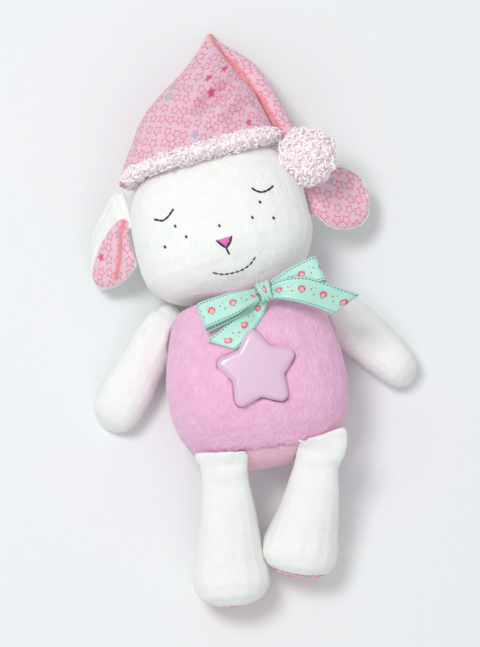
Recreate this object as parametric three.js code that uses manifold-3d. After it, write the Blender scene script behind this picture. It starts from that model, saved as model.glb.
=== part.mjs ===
// A plush lamb doll with a night cap, a ribbon bow and a star light in its belly.
// It lies on its back. X runs across it, Y towards its head and Z up from the floor, in millimetres.
import * as THREE from "three";
import { mergeVertices } from "three/addons/utils/BufferGeometryUtils.js";
import Module from "manifold-3d";

const wasm = await Module();
wasm.setup();

// Clearances that every piece shares
const seatGap = 0.3;
const overrun = 3;
const floorBite = 0.5;
const weld = 0.001;

// Torso, with its centre line turned a little to the left
const torsoTilt = 6;
const bodyHalfWidth = 48.5;
const bodyHalfDepth = 38;
const bodyRise = 49.7;
const bodyDrop = 46.4;
const bodySag = 9;
const coverWall = 2.4;
const seamDrop = 34.5;

// Neck, whose axis is the head's own centre line
const neckAcross = -4;
const neckRadius = 20;
const neckInsert = 4;
const neckGroove = 1.9;
const neckbandWall = 0.9;

// Head
const headTilt = 16.5;
const headHalfWidth = 48.6;
const headHalfDepth = 38;
const headRise = 40.5;
const headDrop = 38.5;
const muzzleProud = 3;
const muzzleDrop = 14;
const muzzleHalfWidth = 24;
const muzzleHalfHeight = 15;

// Night cap
const capHalfWidth = 45;
const capHalfDepth = 36;
const capStart = 36;
const capEnd = 112;
const bandHalfWidth = 45.8;
const bandHalfDepth = 42;
const bandCentre = 38.2;
const bandHalfHeight = 6;
const bandLean = 3.5;
const tipRootRadius = 3.2;
const tipRootHeight = 17;
const tipPivotAcross = 28.2;
const tipPivotAlong = 105.5;
const tipHalfWidth = 6.4;
const tipHalfDepth = 4.6;
const tipEnd = 27;
const tipEndAcross = 52.5;
const tipStartHeight = 11;
const tipEndHeight = 46;
const pompomRadius = 13.6;
const pompomAcross = 54.5;
const pompomAlong = 19.8;
const pompomHeight = 57;
const pompomCurl = 0.9;

// Ears
const earThickness = 3.4;
const liningThickness = 1.2;
const earRootRadius = 2.2;
const earRootLength = 16;
const leftEar = {
  across: -46.6, along: 30.5, height: 37, tilt: 44, flop: 60, length: 44, reach: 37, cup: 3, rim: 3.4,
};
const rightEar = {
  across: 50.2, along: 14, height: 35, tilt: 26, flop: 20, length: 36, reach: 39, cup: 4, rim: 2.2,
};

// Arms
const armHalfWidth = 12.8;
const armHalfDepth = 12.2;
const armRootRadius = 7;
const armRootHeight = 17;
const leftArm = { across: -46.5, along: 37, turn: -31, length: 69 };
const rightArm = { across: 40.2, along: 43.2, turn: 48.5, length: 64 };

// Legs
const footHalfWidth = 19.3;
const footHalfDepth = 21;
const hipHeight = 57;
const leftLeg = { across: -19.2, along: -37.6, turn: 4.6, length: 82, soleRise: 2.5, soleTilt: 28 };
const rightLeg = { across: 33, along: -29.5, turn: -9, length: 75, soleRise: 4.5, soleTilt: 16 };

// Star button and its light module, on the star's own axis
const starAlong = 2.9;
const starTurn = 6;
const starTipRadius = 22;
const starNotchRadius = 14;
const starTop = 79.6;
const starCrown = 3.2;
const starWall = 1.6;
const starFlange = 1.3;
const starFlangeThickness = 1.5;
const windowGap = 0.5;
const starTravel = 1.5;
const starPoints = 5;
const caseRadius = 28;
const caseWall = 1.8;
const caseTop = 66.2;
const caseShoulder = 4;
const caseInnerShoulder = 2;
const caseDepth = 24;
const caseSplit = 8;
const batteryCellRadius = 5.8;
const batteryCellHeight = 5.4;
const batteryCellRing = 7.6;
const batteryCellCount = 3;
const contactThickness = 0.4;
const partitionThickness = 1.2;
const doorRadius = 14.6;
const doorThickness = 1.6;
const boardRadius = 17.6;
const boardThickness = 1.6;
const switchHalfSide = 3;
const switchHeight = 4.3;
const ledRadius = 2.5;
const ledHeight = 7.5;
const ledRing = 11;
const ledCount = 3;
const postRadius = 2.2;
const collarRadius = 6.4;
const collarThickness = 1.2;
const springRadius = 4.9;
const springWire = 0.6;
const springTurns = 5;
const bossRadius = 3;
const bossRing = 21;
const screwShank = 1.1;
const screwHead = 2.3;
const screwHeadHeight = 1.5;
const screwLength = 12;
const screwGap = 0.35;
const caseScrewCount = 3;
const doorScrewLength = 6;
const doorScrewHead = 1.5;
const doorScrewShank = 0.6;
const doorScrewHeadHeight = 0.8;

// Closure of the slit in the back
const slitAlong = -19;
const slitHalfLength = 25;
const slitHalfWidth = 0.6;
const tapeHalfWidth = 6;
const tapeThickness = 1.2;

// Satin ribbon
const ribbonThickness = 0.8;
const ribbonRise = 0.5;
const loopHeight = 5;
const knotHalfLength = 4.6;
const knotHalfWidth = 6.2;
const knotHalfHeight = 3.4;
const knotLift = 11;
const knot = { across: 10.6, along: 43.8 };
const leftLoop = { turn: 196, length: 33, width: 13 };
const rightLoop = { turn: 20, length: 27, width: 13.5 };
const leftTail = { turn: 217, length: 36, width: 12.7 };
const rightTail = { turn: -8, length: 40, width: 12.7 };

// Facets round each kind of form
const bodyFacets = { rings: 14, sides: 28 };
const headFacets = { rings: 16, sides: 28 };
const bandFacets = { rings: 8, sides: 28 };
const capFacets = { rings: 14, sides: 20 };
const limbFacets = { rings: 12, sides: 16 };
const earFacets = { rings: 9, sides: 12 };
const roundFacets = 24;
const smallFacets = 12;
const crownFacets = 36;
const pompomFacets = 4;
const pompomLumps = 7;
const coilSteps = 8;
const coilSides = 5;
const ribbonSteps = 10;
const ribbonCurveSteps = 8;

const radians = THREE.MathUtils.degToRad;
const power = (value, exponent) => Math.sign(value) * Math.abs(value) ** exponent;
const lerp = THREE.MathUtils.lerp;

// Frames: a place on the floor plane with a turn about the upright
function frameAt(parent, across, along, height, turn) {
  const local = new THREE.Matrix4().makeRotationZ(radians(turn));
  local.setPosition(across, along, height);
  return parent.clone().multiply(local);
}
const world = new THREE.Matrix4();
const torsoFrame = frameAt(world, 0, 0, 0, torsoTilt);
const neckFrame = frameAt(torsoFrame, neckAcross, bodyRise, 0, headTilt - torsoTilt);
const headFrame = frameAt(neckFrame, 0, headDrop, 0, 0);
const bodyHeight = bodyHalfDepth - floorBite;
const headHeight = headHalfDepth - floorBite;
const starFrame = frameAt(torsoFrame, 0, starAlong, 0, starTurn - torsoTilt);

// Meshes to solids and back
function solidOf(geometry) {
  const bare = new THREE.BufferGeometry();
  bare.setAttribute("position", geometry.getAttribute("position").clone());
  if (geometry.index) bare.setIndex(geometry.index.clone());
  const merged = mergeVertices(bare, weld);
  const vertProperties = new Float32Array(merged.getAttribute("position").array);
  const corners = Array.from(merged.index.array);
  const make = (list) => new wasm.Manifold(
    new wasm.Mesh({ numProp: 3, vertProperties, triVerts: new Uint32Array(list) })
  );
  const solid = make(whole(corners));
  return solid.volume() > 0 ? solid : make(whole(corners).reverse());
}

// The triangles whose three corners differ
function whole(corners) {
  const kept = [];
  for (let corner = 0; corner < corners.length; corner += 3) {
    const [a, b, c] = corners.slice(corner, corner + 3);
    if (a !== b && b !== c && c !== a) kept.push(a, b, c);
  }
  return kept;
}

function geometryOf(solid) {
  const mesh = solid.getMesh();
  const geometry = new THREE.BufferGeometry();
  geometry.setAttribute("position", new THREE.BufferAttribute(mesh.vertProperties, 3));
  geometry.setIndex(new THREE.BufferAttribute(mesh.triVerts, 1));
  geometry.computeVertexNormals();
  return geometry;
}

// A solid made in one frame, seen from another
function carry(solid, from, to) {
  const matrix = to.clone().invert().multiply(from);
  return solid.transform(matrix.elements);
}

function placed(geometry, x, y, z) {
  return solidOf(geometry.translate(x, y, z));
}

function block(x0, x1, y0, y1, z0, z1) {
  const geometry = new THREE.BoxGeometry(x1 - x0, y1 - y0, z1 - z0);
  return placed(geometry, (x0 + x1) / 2, (y0 + y1) / 2, (z0 + z1) / 2);
}

// A profile of radius and height, turned about local Y. Off the axis it closes on itself.
function lathe(profile, facets) {
  const closed = profile[0][0] > 0 ? [...profile, profile[0]] : profile;
  return new THREE.LatheGeometry(closed.map(([radius, height]) => new THREE.Vector2(radius, height)), facets);
}

// A round piece on an upright axis
function turned(profile, facets = roundFacets, x = 0, y = 0) {
  return placed(lathe(profile, facets).rotateX(Math.PI / 2), x, y, 0);
}

function disc(radius, z0, z1, facets = roundFacets, x = 0, y = 0) {
  return turned([[0, z0], [radius, z0], [radius, z1], [0, z1]], facets, x, y);
}

// A closed skin over rings of points that run from one end point to the other
function skinOf(start, rings, end) {
  const sides = rings[0].length;
  const positions = [...start, ...rings.flat(2), ...end];
  const index = [];
  const at = (ring, side) => 1 + ring * sides + (side % sides);
  const last = positions.length / 3 - 1;
  for (let side = 0; side < sides; side += 1) {
    index.push(0, at(0, side + 1), at(0, side));
    index.push(last, at(rings.length - 1, side), at(rings.length - 1, side + 1));
    for (let ring = 0; ring + 1 < rings.length; ring += 1) {
      index.push(at(ring, side), at(ring, side + 1), at(ring + 1, side));
      index.push(at(ring, side + 1), at(ring + 1, side + 1), at(ring + 1, side));
    }
  }
  const geometry = new THREE.BufferGeometry();
  geometry.setAttribute("position", new THREE.Float32BufferAttribute(positions, 3));
  geometry.setIndex(index);
  return solidOf(geometry);
}

// A stuffed form along local Y: a rounded block whose sides and ends have their own roundness
function stuffed({ wide, deep, rise, drop, centre, roundShares, facets, shape, grow = 0 }) {
  const [sideShare, topShare, bottomShare] = roundShares;
  const rings = [];
  const place = (share, width, turn) => {
    const reach = share < 0 ? drop + grow : rise + grow;
    const round = share < 0 ? bottomShare : topShare;
    const y = reach * power(share, 2 / round);
    const w = width ** (2 / round);
    const x = (wide + grow) * w * power(Math.cos(turn), 2 / sideShare);
    const z = (deep + grow) * w * power(Math.sin(turn), 2 / sideShare);
    return shape ? shape(x, y, z, y / reach) : [x, y, centre + z];
  };
  for (let ring = 1; ring < facets.rings; ring += 1) {
    const angle = Math.PI * (ring / facets.rings - 1 / 2);
    const points = [];
    for (let step = 0; step < facets.sides; step += 1) {
      const turn = (2 * Math.PI * step) / facets.sides;
      points.push(place(Math.sin(angle), Math.cos(angle), turn));
    }
    rings.push(points);
  }
  return skinOf(place(-1, 0, 0), rings, place(1, 0, 0));
}

// Smooth values between rows of shares, each row led by its share of the length
function rowAt(rows, share) {
  let next = rows.findIndex((row) => row[0] >= share);
  if (next < 1) next = 1;
  const [a, b, c, d] = [next - 2, next - 1, next, next + 1].map(
    (row) => rows[Math.min(Math.max(row, 0), rows.length - 1)]
  );
  const t = (share - b[0]) / (c[0] - b[0]);
  return b.map((value, column) => {
    const spanBefore = c[0] - a[0] || 1;
    const spanAfter = d[0] - b[0] || 1;
    const slopeB = ((c[column] - a[column]) / spanBefore) * (c[0] - b[0]);
    const slopeC = ((d[column] - b[column]) / spanAfter) * (c[0] - b[0]);
    const cubic = 2 * (value - c[column]) + slopeB + slopeC;
    const square = 3 * (c[column] - value) - 2 * slopeB - slopeC;
    return value + t * (slopeB + t * (square + t * cubic));
  });
}

// A form lofted through rows: section gives each ring's centre and half sizes at a share of the length
function lofted({ section, facets, roundShare = limbRoundShare, bow }) {
  const rings = [];
  let first;
  let final;
  for (let ring = 0; ring <= facets.rings; ring += 1) {
    const share = (1 - Math.cos((Math.PI * ring) / facets.rings)) / 2;
    const { x, y, z, wide, deep } = section(share);
    if (ring === 0) first = [x, y, z];
    if (ring === facets.rings) final = [x, y, z];
    if (ring === 0 || ring === facets.rings) continue;
    const points = [];
    for (let step = 0; step < facets.sides; step += 1) {
      const turn = (2 * Math.PI * step) / facets.sides;
      const dx = wide * power(Math.cos(turn), 2 / roundShare);
      const dz = deep * power(Math.sin(turn), 2 / roundShare);
      points.push([x + dx, y, z + dz + (bow ? bow(dx / wide, share) : 0)]);
    }
    rings.push(points);
  }
  return skinOf(first, rings, final);
}

const farSide = 6 * bodyHalfWidth;
const aboveFloor = block(-farSide, farSide, -farSide, farSide, 0, farSide);
const onFloor = (solid, frame) => solid.intersect(carry(aboveFloor, world, frame));

// Roundness of each stuffed form at its side, top and bottom: 2 is an ellipse, and more is squarer
const bodyRoundShares = [2.6, 4.2, 2.6];
const headRoundShares = [2.7, 2.8, 3.4];
const bandRoundShares = [2.6, 2.4, 2.4];
const capRoundShare = 2.3;
const limbRoundShare = 2.2;

// Torso form: a barrel, fuller at the neck end, whose seat end droops to the floor
const bodyTaperShare = 0.06;
const sagKeptShare = 0.8;
function bodyForm(grow) {
  return stuffed({
    wide: bodyHalfWidth, deep: bodyHalfDepth, rise: bodyRise, drop: bodyDrop, centre: bodyHeight,
    roundShares: bodyRoundShares, facets: bodyFacets, grow,
    shape: (x, y, z, share) => {
      const taper = share > 0 ? 1 - bodyTaperShare * share * share : 1;
      const droop = share < 0 ? bodySag * share * share : 0;
      const kept = share < 0 ? 1 - (droop * sagKeptShare) / bodyHalfDepth : 1;
      return [x * taper, y, bodyHeight - droop + z * taper * kept];
    },
  });
}

// Head form: a rounded block with a soft muzzle
function headForm(grow) {
  return stuffed({
    wide: headHalfWidth, deep: headHalfDepth, rise: headRise, drop: headDrop, centre: headHeight,
    roundShares: headRoundShares, facets: headFacets, grow,
    shape: (x, y, z) => {
      const fall = (x / muzzleHalfWidth) ** 2 + ((y + muzzleDrop) / muzzleHalfHeight) ** 2;
      const muzzle = z > 0 ? (muzzleProud * Math.exp(-fall) * z) / headHalfDepth : 0;
      return [x, y, headHeight + z + muzzle];
    },
  });
}

// Five-pointed star with rounded tips and soft notches
const starPeakShare = 1.2;
const starDipShare = 0.83;
function starShape(grow) {
  const tip = starTipRadius * starPeakShare + grow;
  const notch = starNotchRadius * starDipShare + grow;
  const corner = (step) => {
    const angle = Math.PI / 2 + (Math.PI * step) / starPoints;
    const radius = step % 2 === 0 ? tip : notch;
    return new THREE.Vector2(radius * Math.cos(angle), radius * Math.sin(angle));
  };
  const middle = (step) => corner(step).lerp(corner(step + 1), 1 / 2);
  const shape = new THREE.Shape();
  shape.moveTo(middle(0).x, middle(0).y);
  for (let step = 1; step <= 2 * starPoints; step += 1) {
    shape.quadraticCurveTo(corner(step).x, corner(step).y, middle(step).x, middle(step).y);
  }
  return shape;
}

const starCurveSteps = 4;
function starPrism(grow, z0, z1) {
  const options = { depth: z1 - z0, bevelEnabled: false, curveSegments: starCurveSteps };
  return placed(new THREE.ExtrudeGeometry(starShape(grow), options), 0, 0, z0);
}

// Heights in the light module, from its front face down
const plateBottom = caseTop - caseWall;
const flangeTop = plateBottom - seatGap;
const flangeBottom = flangeTop - starFlangeThickness;
const caseBottom = caseTop - caseDepth;
const splitHeight = caseTop - caseSplit;
const doorFloor = caseBottom + doorThickness + seatGap;
const cellBottom = doorFloor;
const cellTop = cellBottom + batteryCellHeight;
const contactBottom = cellTop + seatGap;
const partitionBottom = contactBottom + contactThickness + seatGap;
const partitionTop = partitionBottom + partitionThickness;
const boardBottom = partitionTop + seatGap;
const boardTop = boardBottom + boardThickness;
const switchTop = boardTop + seatGap + switchHeight;
const postBottom = switchTop + starTravel + seatGap;
const collarBottom = postBottom + 2 * starTravel;
const lensCeiling = starTop - starCrown - starWall;
const turnOf = (step, count, start) => start + (2 * Math.PI * step) / count;
const bossStart = Math.PI * (1 / 2 + 1 / starPoints);
const bossAngle = (step) => bossStart + (4 * Math.PI * step) / starPoints;
const ledAngle = (step) => turnOf(step, ledCount, Math.PI / 2);
const cellAngle = (step) => turnOf(step, batteryCellCount, Math.PI / 2);

const parts = [];
function piece(name, frame, solid, color, roughness, metalness = 0) {
  parts.push({ name, frame, solid, color, roughness, metalness });
}

// Colours of the real surfaces
const pinkPlush = 0xf0b6de;
const seatPlush = 0xf6b9b4;
const whitePlush = 0xf3f6f2;
const printPink = 0xf3b7c8;
const paleFluff = 0xf7dce6;
const mint = 0xaee5d6;
const lensPink = 0xe4c4da;
const casePlastic = 0xe9e6e0;
const steel = 0xb9bcc0;
const boardGreen = 0x3f7f55;
const blackPlastic = 0x2c2d30;
const filling = 0xf1efe8;

// Neck: the cover runs a short way into the head, with a groove for the ribbon
const neckHeight = bodyHeight;
function neckTurned(profile) {
  return placed(lathe(profile, roundFacets), 0, 0, neckHeight);
}
const neckStub = neckTurned([
  [0, -neckGroove - overrun], [neckRadius, -neckGroove - overrun], [neckRadius, neckInsert], [0, neckInsert],
]);
const neckRoom = neckTurned([
  [0, -neckGroove], [farSide, -neckGroove], [farSide, farSide], [0, farSide],
]);
const headRoom = neckTurned([
  [0, -farSide], [farSide, -farSide], [farSide, neckGroove], [neckRadius + seatGap, neckGroove],
  [neckRadius + seatGap, neckInsert + seatGap], [0, neckInsert + seatGap],
]);

// Arms hang from a ball at the shoulder, and rest on the floor
const armShares = [
  [0, 0.7, 0.58, 1], [0.1, 0.88, 0.72, 0.86], [0.3, 0.92, 0.86, 0.4], [0.55, 1, 0.96, 0.1],
  [0.8, 1, 1, 0], [0.93, 0.78, 0.8, 0], [1, 0.25, 0.3, 0],
];
const armLift = armRootHeight - armHalfDepth / 2;
function armFrame({ across, along, turn }) {
  return frameAt(world, across, along, 0, turn);
}
function armForm({ length }) {
  return lofted({
    facets: limbFacets,
    section: (share) => {
      const [, width, depth, lift] = rowAt(armShares, share);
      const deep = depth * armHalfDepth;
      return {
        x: 0, y: -length * share, z: deep + lift * armLift - floorBite, wide: width * armHalfWidth, deep,
      };
    },
  });
}
const shoulderBall = (clearance) => placed(
  new THREE.SphereGeometry(armRootRadius + clearance, limbFacets.sides, limbFacets.rings), 0, 0, armRootHeight
);

// Legs start at a flat seam and swell into a bell-shaped foot
const legShares = [
  [0, 0.68, 0.12], [0.12, 0.6, 0.28], [0.25, 0.65, 0.42], [0.38, 0.74, 0.56], [0.52, 0.84, 0.74],
  [0.65, 0.93, 0.9], [0.78, 1, 1], [0.9, 0.9, 0.93], [0.97, 0.62, 0.66], [1, 0.3, 0.32],
];
const footShare = 0.78;
function legFrame({ across, along, turn }) {
  return frameAt(world, across, along, 0, turn);
}
function legForm({ length }) {
  return lofted({
    facets: limbFacets,
    section: (share) => {
      const [, width, depth] = rowAt(legShares, share);
      const deep = depth * footHalfDepth;
      const seatTop = 2 * footHalfDepth - floorBite;
      const top = share < footShare
        ? lerp(hipHeight, seatTop, share / footShare)
        : seatTop - footHalfDepth * (1 - depth);
      return { x: 0, y: -length * share, z: top - deep, wide: width * footHalfWidth, deep };
    },
  });
}
function solePlane({ length, soleRise, soleTilt }, side) {
  const geometry = new THREE.BoxGeometry(farSide, farSide, farSide).translate(0, (side * farSide) / 2, 0);
  geometry.rotateX(radians(soleTilt));
  return placed(geometry, 0, -length + soleRise + (side * seatGap) / 2, footHalfDepth);
}

// Ears: a plate on a round root, cupped across its width, with an inset lining
const leftEarShares = [
  [0, 0.06, 0.04], [0.12, 0.22, 0.24], [0.3, 0.36, 0.4], [0.5, 0.43, 0.5], [0.7, 0.46, 0.58],
  [0.86, 0.53, 0.5], [0.95, 0.61, 0.34], [1, 0.66, 0.16],
];
const rightEarShares = [
  [0, 0.52, 0.12], [0.1, 0.49, 0.34], [0.3, 0.46, 0.47], [0.5, 0.45, 0.5], [0.7, 0.46, 0.47],
  [0.9, 0.49, 0.34], [1, 0.52, 0.12],
];
function earFrame(ear, flip) {
  const seat = frameAt(headFrame, ear.across, ear.along, ear.height, flip ? 180 : 0);
  return seat.multiply(new THREE.Matrix4().makeRotationY(radians(ear.tilt)));
}
function earPlate(ear, rows, flip, inset, low, high) {
  const way = flip ? 1 : -1;
  return lofted({
    facets: earFacets,
    section: (share) => {
      const row = rowAt(rows, share);
      const length = ear.length - 2 * inset;
      return {
        x: ear.reach * row[1],
        y: way * (inset + length * share),
        z: (low + high) / 2,
        wide: Math.max(ear.reach * row[2] - inset, earRootRadius / 2),
        deep: (high - low) / 2,
      };
    },
    bow: (across, share) => {
      const row = rowAt(rows, share);
      const whole = ear.reach * row[2];
      const held = Math.max(whole - inset, earRootRadius / 2);
      return ear.cup * ((across * held) / whole) ** 2 * Math.sin(Math.PI * share);
    },
  });
}
function earRoot(clearance, flip, offset) {
  const way = flip ? 1 : -1;
  const geometry = new THREE.CylinderGeometry(
    earRootRadius + clearance, earRootRadius + clearance, earRootLength + 2 * clearance, smallFacets
  );
  return placed(geometry, 0, way * (offset + earRootLength / 2), 0);
}
const leftRootShare = 0.05;
const rightRootShare = 0.25;
const leftRootOffset = leftEar.length * leftRootShare;
const rightRootOffset = rightEar.length * rightRootShare;

// Cap tip: a strip that hangs from an upright root at the cap's point, down to the pompom
const capShares = [
  [0, -0.01, 1, 0.98], [0.13, 0.03, 0.93, 0.93], [0.27, 0.09, 0.84, 0.84], [0.4, 0.16, 0.74, 0.74],
  [0.52, 0.22, 0.6, 0.64], [0.61, 0.31, 0.46, 0.54], [0.69, 0.38, 0.34, 0.46], [0.79, 0.45, 0.24, 0.4],
  [0.89, 0.53, 0.14, 0.34], [1, 0.59, 0.04, 0.24],
];
const tipShares = [
  [0, 0, 0.55], [0.1, 0.24, 0.74], [0.27, 0.52, 1], [0.52, 0.7, 0.94], [0.83, 0.87, 0.84], [1, 0.96, 0.8],
];
function capForm(grow) {
  return lofted({
    facets: capFacets, roundShare: capRoundShare,
    section: (share) => {
      const [, shift, width, depth] = rowAt(capShares, share);
      const deep = depth * capHalfDepth + grow;
      return {
        x: shift * capHalfWidth, y: lerp(capStart - grow, capEnd, share), z: deep - floorBite - grow,
        wide: width * capHalfWidth + grow, deep,
      };
    },
  });
}
function tipForm() {
  return lofted({
    facets: limbFacets,
    section: (share) => {
      const [, shift, width] = rowAt(tipShares, share);
      return {
        x: lerp(tipPivotAcross, tipEndAcross, shift), y: lerp(tipPivotAlong, tipEnd, share),
        z: lerp(tipStartHeight, tipEndHeight, share),
        wide: width * tipHalfWidth, deep: tipHalfDepth,
      };
    },
  });
}
function tipRoot(clearance) {
  return disc(tipRootRadius + clearance, -clearance, tipRootHeight + clearance, smallFacets,
    tipPivotAcross, tipPivotAlong);
}
function pompomForm(grow) {
  const geometry = new THREE.IcosahedronGeometry(pompomRadius + grow, pompomFacets);
  const points = geometry.getAttribute("position");
  const point = new THREE.Vector3();
  const wave = (value, lead) => Math.sin(pompomLumps * value + lead);
  for (let index = 0; index < points.count; index += 1) {
    point.fromBufferAttribute(points, index);
    const way = point.clone().normalize();
    point.addScaledVector(way, pompomCurl * wave(way.x, 2) * wave(way.y, 1) * wave(way.z, 0));
    points.setXYZ(index, point.x, point.y, point.z);
  }
  return placed(geometry, pompomAcross, pompomAlong, pompomHeight);
}

// Ribbon: thin strips that follow the front of the body
const tailHangShare = 0.72;
const pinchedShare = 0.55;
const spreadShare = 0.9;
const loopRiseShare = 0.25;
const loopRunShare = 0.6;
function frontHeight(x, y) {
  const share = y < 0 ? y / bodyDrop : y / bodyRise;
  const [sideShare, topShare, bottomShare] = bodyRoundShares;
  const round = y < 0 ? bottomShare : topShare;
  const width = Math.max(1 - Math.abs(share) ** round, 0) ** (1 / round);
  const across = Math.min(Math.abs(x) / (bodyHalfWidth * width || 1), 1);
  return bodyHeight + bodyHalfDepth * width * (1 - across ** sideShare) ** (1 / sideShare);
}
function ribbonStrip({ turn, length, width }, heightAt, thickness) {
  const steps = ribbonSteps;
  const angle = radians(turn);
  const along = new THREE.Vector2(Math.cos(angle), Math.sin(angle));
  const rings = [];
  for (let step = 0; step <= steps; step += 1) {
    const reach = (length * step) / steps + knotHalfWidth + seatGap;
    const half = (width / 2) * Math.min(1, pinchedShare + (spreadShare * step) / steps);
    const x = knot.across + along.x * reach;
    const y = knot.along + along.y * reach;
    const z = heightAt(x, y, step / steps);
    const ring = [-1, 1].flatMap((side) => {
      const px = x - side * along.y * half;
      const py = y + side * along.x * half;
      return side < 0
        ? [[px, py, z], [px, py, z + thickness]]
        : [[px, py, z + thickness], [px, py, z]];
    });
    rings.push(ring);
  }
  const middle = (ring) => ring[0].map((_, axis) => ring.reduce((sum, p) => sum + p[axis], 0) / ring.length);
  return skinOf(middle(rings[0]), rings, middle(rings[rings.length - 1]));
}
const knotHeight = frontHeight(knot.across, knot.along) + knotLift;
const tailFloor = bodyHeight + bodyHalfDepth * tailHangShare;
const tailHeight = (x, y) => Math.max(frontHeight(x, y), tailFloor) + ribbonRise;
function loopBand(loop) {
  const outer = ribbonLoop(loop, 0);
  const inner = ribbonLoop(loop, ribbonThickness);
  return outer.subtract(inner);
}
function ribbonLoop({ turn, length, width }, inset) {
  const shape = new THREE.Shape();
  const high = loopHeight - inset;
  const start = knotHalfLength + seatGap;
  const end = start + length - inset;
  const middle = loopHeight / 2;
  const mouth = inset ? ribbonThickness / 2 : ribbonThickness;
  const lead = start - (inset ? overrun : 0);
  const rise = start + length * loopRiseShare;
  const run = start + length * loopRunShare;
  shape.moveTo(lead, middle - mouth);
  shape.quadraticCurveTo(rise, inset, run, inset);
  shape.quadraticCurveTo(end, inset, end, middle);
  shape.quadraticCurveTo(end, high, run, high);
  shape.quadraticCurveTo(rise, high, lead, middle + mouth);
  shape.closePath();
  const cut = inset ? overrun : 0;
  const options = { depth: width + 2 * cut, bevelEnabled: false, curveSegments: ribbonCurveSteps };
  const geometry = new THREE.ExtrudeGeometry(shape, options);
  geometry.translate(0, 0, -width / 2 - cut).rotateX(Math.PI / 2).rotateZ(radians(turn));
  return placed(geometry, knot.across, knot.along, knotHeight - loopHeight / 2);
}

// The light module's pieces, all on the star's axis
function starLens() {
  const dome = starPrism(0, flangeBottom, starTop);
  const crownRadius = (starTipRadius ** 2 + starCrown ** 2) / (2 * starCrown);
  const ball = new THREE.SphereGeometry(crownRadius, crownFacets, crownFacets);
  const crown = placed(ball, 0, 0, starTop - crownRadius);
  const skirt = starPrism(overrun, flangeBottom - overrun, starTop - starCrown);
  const shell = dome.intersect(crown.add(skirt.intersect(dome)));
  const flange = starPrism(starFlange, flangeBottom, flangeTop);
  const hollow = starPrism(-starWall, flangeBottom - overrun, lensCeiling);
  const post = disc(postRadius, postBottom, lensCeiling + starWall / 2, smallFacets);
  const collar = disc(collarRadius, collarBottom, collarBottom + collarThickness, smallFacets);
  return shell.add(flange).subtract(hollow).add(post).add(collar);
}

function frontShell() {
  const inner = caseRadius - caseWall;
  let shell = turned([
    [inner, splitHeight + seatGap], [caseRadius, splitHeight + seatGap], [caseRadius, caseTop - caseShoulder],
    [caseRadius - caseShoulder, caseTop], [0, caseTop], [0, plateBottom],
    [inner - caseInnerShoulder, plateBottom], [inner, plateBottom - caseInnerShoulder],
  ]);
  for (let step = 0; step < caseScrewCount; step += 1) {
    const x = bossRing * Math.cos(bossAngle(step));
    const y = bossRing * Math.sin(bossAngle(step));
    shell = shell.add(disc(bossRadius, splitHeight + seatGap, plateBottom + caseWall / 2, smallFacets, x, y));
    const bore = disc(screwShank + screwGap, splitHeight - overrun, plateBottom - caseWall,
      smallFacets, x, y);
    shell = shell.subtract(bore);
  }
  return shell.subtract(starPrism(windowGap, plateBottom - overrun, caseTop + overrun));
}

const compartmentInner = batteryCellRing + batteryCellRadius + seatGap;
const compartmentOuter = doorRadius + seatGap + caseWall;
function rearShell() {
  const inner = caseRadius - caseWall;
  let shell = turned([
    [doorRadius + seatGap, caseBottom], [caseRadius - caseShoulder, caseBottom],
    [caseRadius, caseBottom + caseShoulder], [caseRadius, splitHeight], [inner, splitHeight],
    [inner, caseBottom + caseWall + caseShoulder], [inner - caseShoulder, caseBottom + caseWall],
    [compartmentOuter, caseBottom + caseWall], [compartmentOuter, partitionTop], [0, partitionTop],
    [0, partitionBottom], [compartmentInner, partitionBottom], [compartmentInner, doorFloor],
    [doorRadius + seatGap, doorFloor],
  ]);
  for (let step = 0; step < caseScrewCount; step += 1) {
    const x = bossRing * Math.cos(bossAngle(step));
    const y = bossRing * Math.sin(bossAngle(step));
    shell = shell.add(disc(bossRadius, caseBottom, splitHeight, smallFacets, x, y));
    const bore = disc(screwShank + screwGap, caseBottom - overrun, splitHeight + overrun, smallFacets, x, y);
    const sink = disc(screwHead + screwGap, caseBottom - overrun, caseBottom + screwHeadHeight + screwGap,
      smallFacets, x, y);
    shell = shell.subtract(bore).subtract(sink);
  }
  const nut = disc(doorScrewHead, doorFloor, partitionTop, smallFacets);
  const nutBore = disc(doorScrewShank + screwGap, doorFloor - overrun, partitionBottom, smallFacets);
  return shell.add(nut).subtract(nutBore);
}

function screw({ headRadius, headHeight, shankRadius, length }, x, y) {
  return turned([
    [0, caseBottom], [headRadius, caseBottom], [headRadius, caseBottom + headHeight],
    [shankRadius, caseBottom + headHeight], [shankRadius, caseBottom + length], [0, caseBottom + length],
  ], smallFacets, x, y);
}

function springForm() {
  const low = boardTop + seatGap + springWire / 2;
  const high = collarBottom - seatGap - springWire / 2;
  const total = springTurns * coilSteps;
  const rings = [];
  const middle = (step) => {
    const turn = (2 * Math.PI * step) / coilSteps;
    return new THREE.Vector3(
      springRadius * Math.cos(turn), springRadius * Math.sin(turn), lerp(low, high, step / total)
    );
  };
  for (let step = 0; step <= total; step += 1) {
    const centre = middle(step);
    const turn = (2 * Math.PI * step) / coilSteps;
    const out = new THREE.Vector3(Math.cos(turn), Math.sin(turn), 0);
    const ring = [];
    for (let side = 0; side < coilSides; side += 1) {
      const angle = (2 * Math.PI * side) / coilSides;
      const point = centre.clone().addScaledVector(out, (springWire / 2) * Math.cos(angle));
      point.z += (springWire / 2) * Math.sin(angle);
      ring.push(point.toArray());
    }
    rings.push(ring);
  }
  return skinOf(middle(0).toArray(), rings, middle(total).toArray());
}

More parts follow.
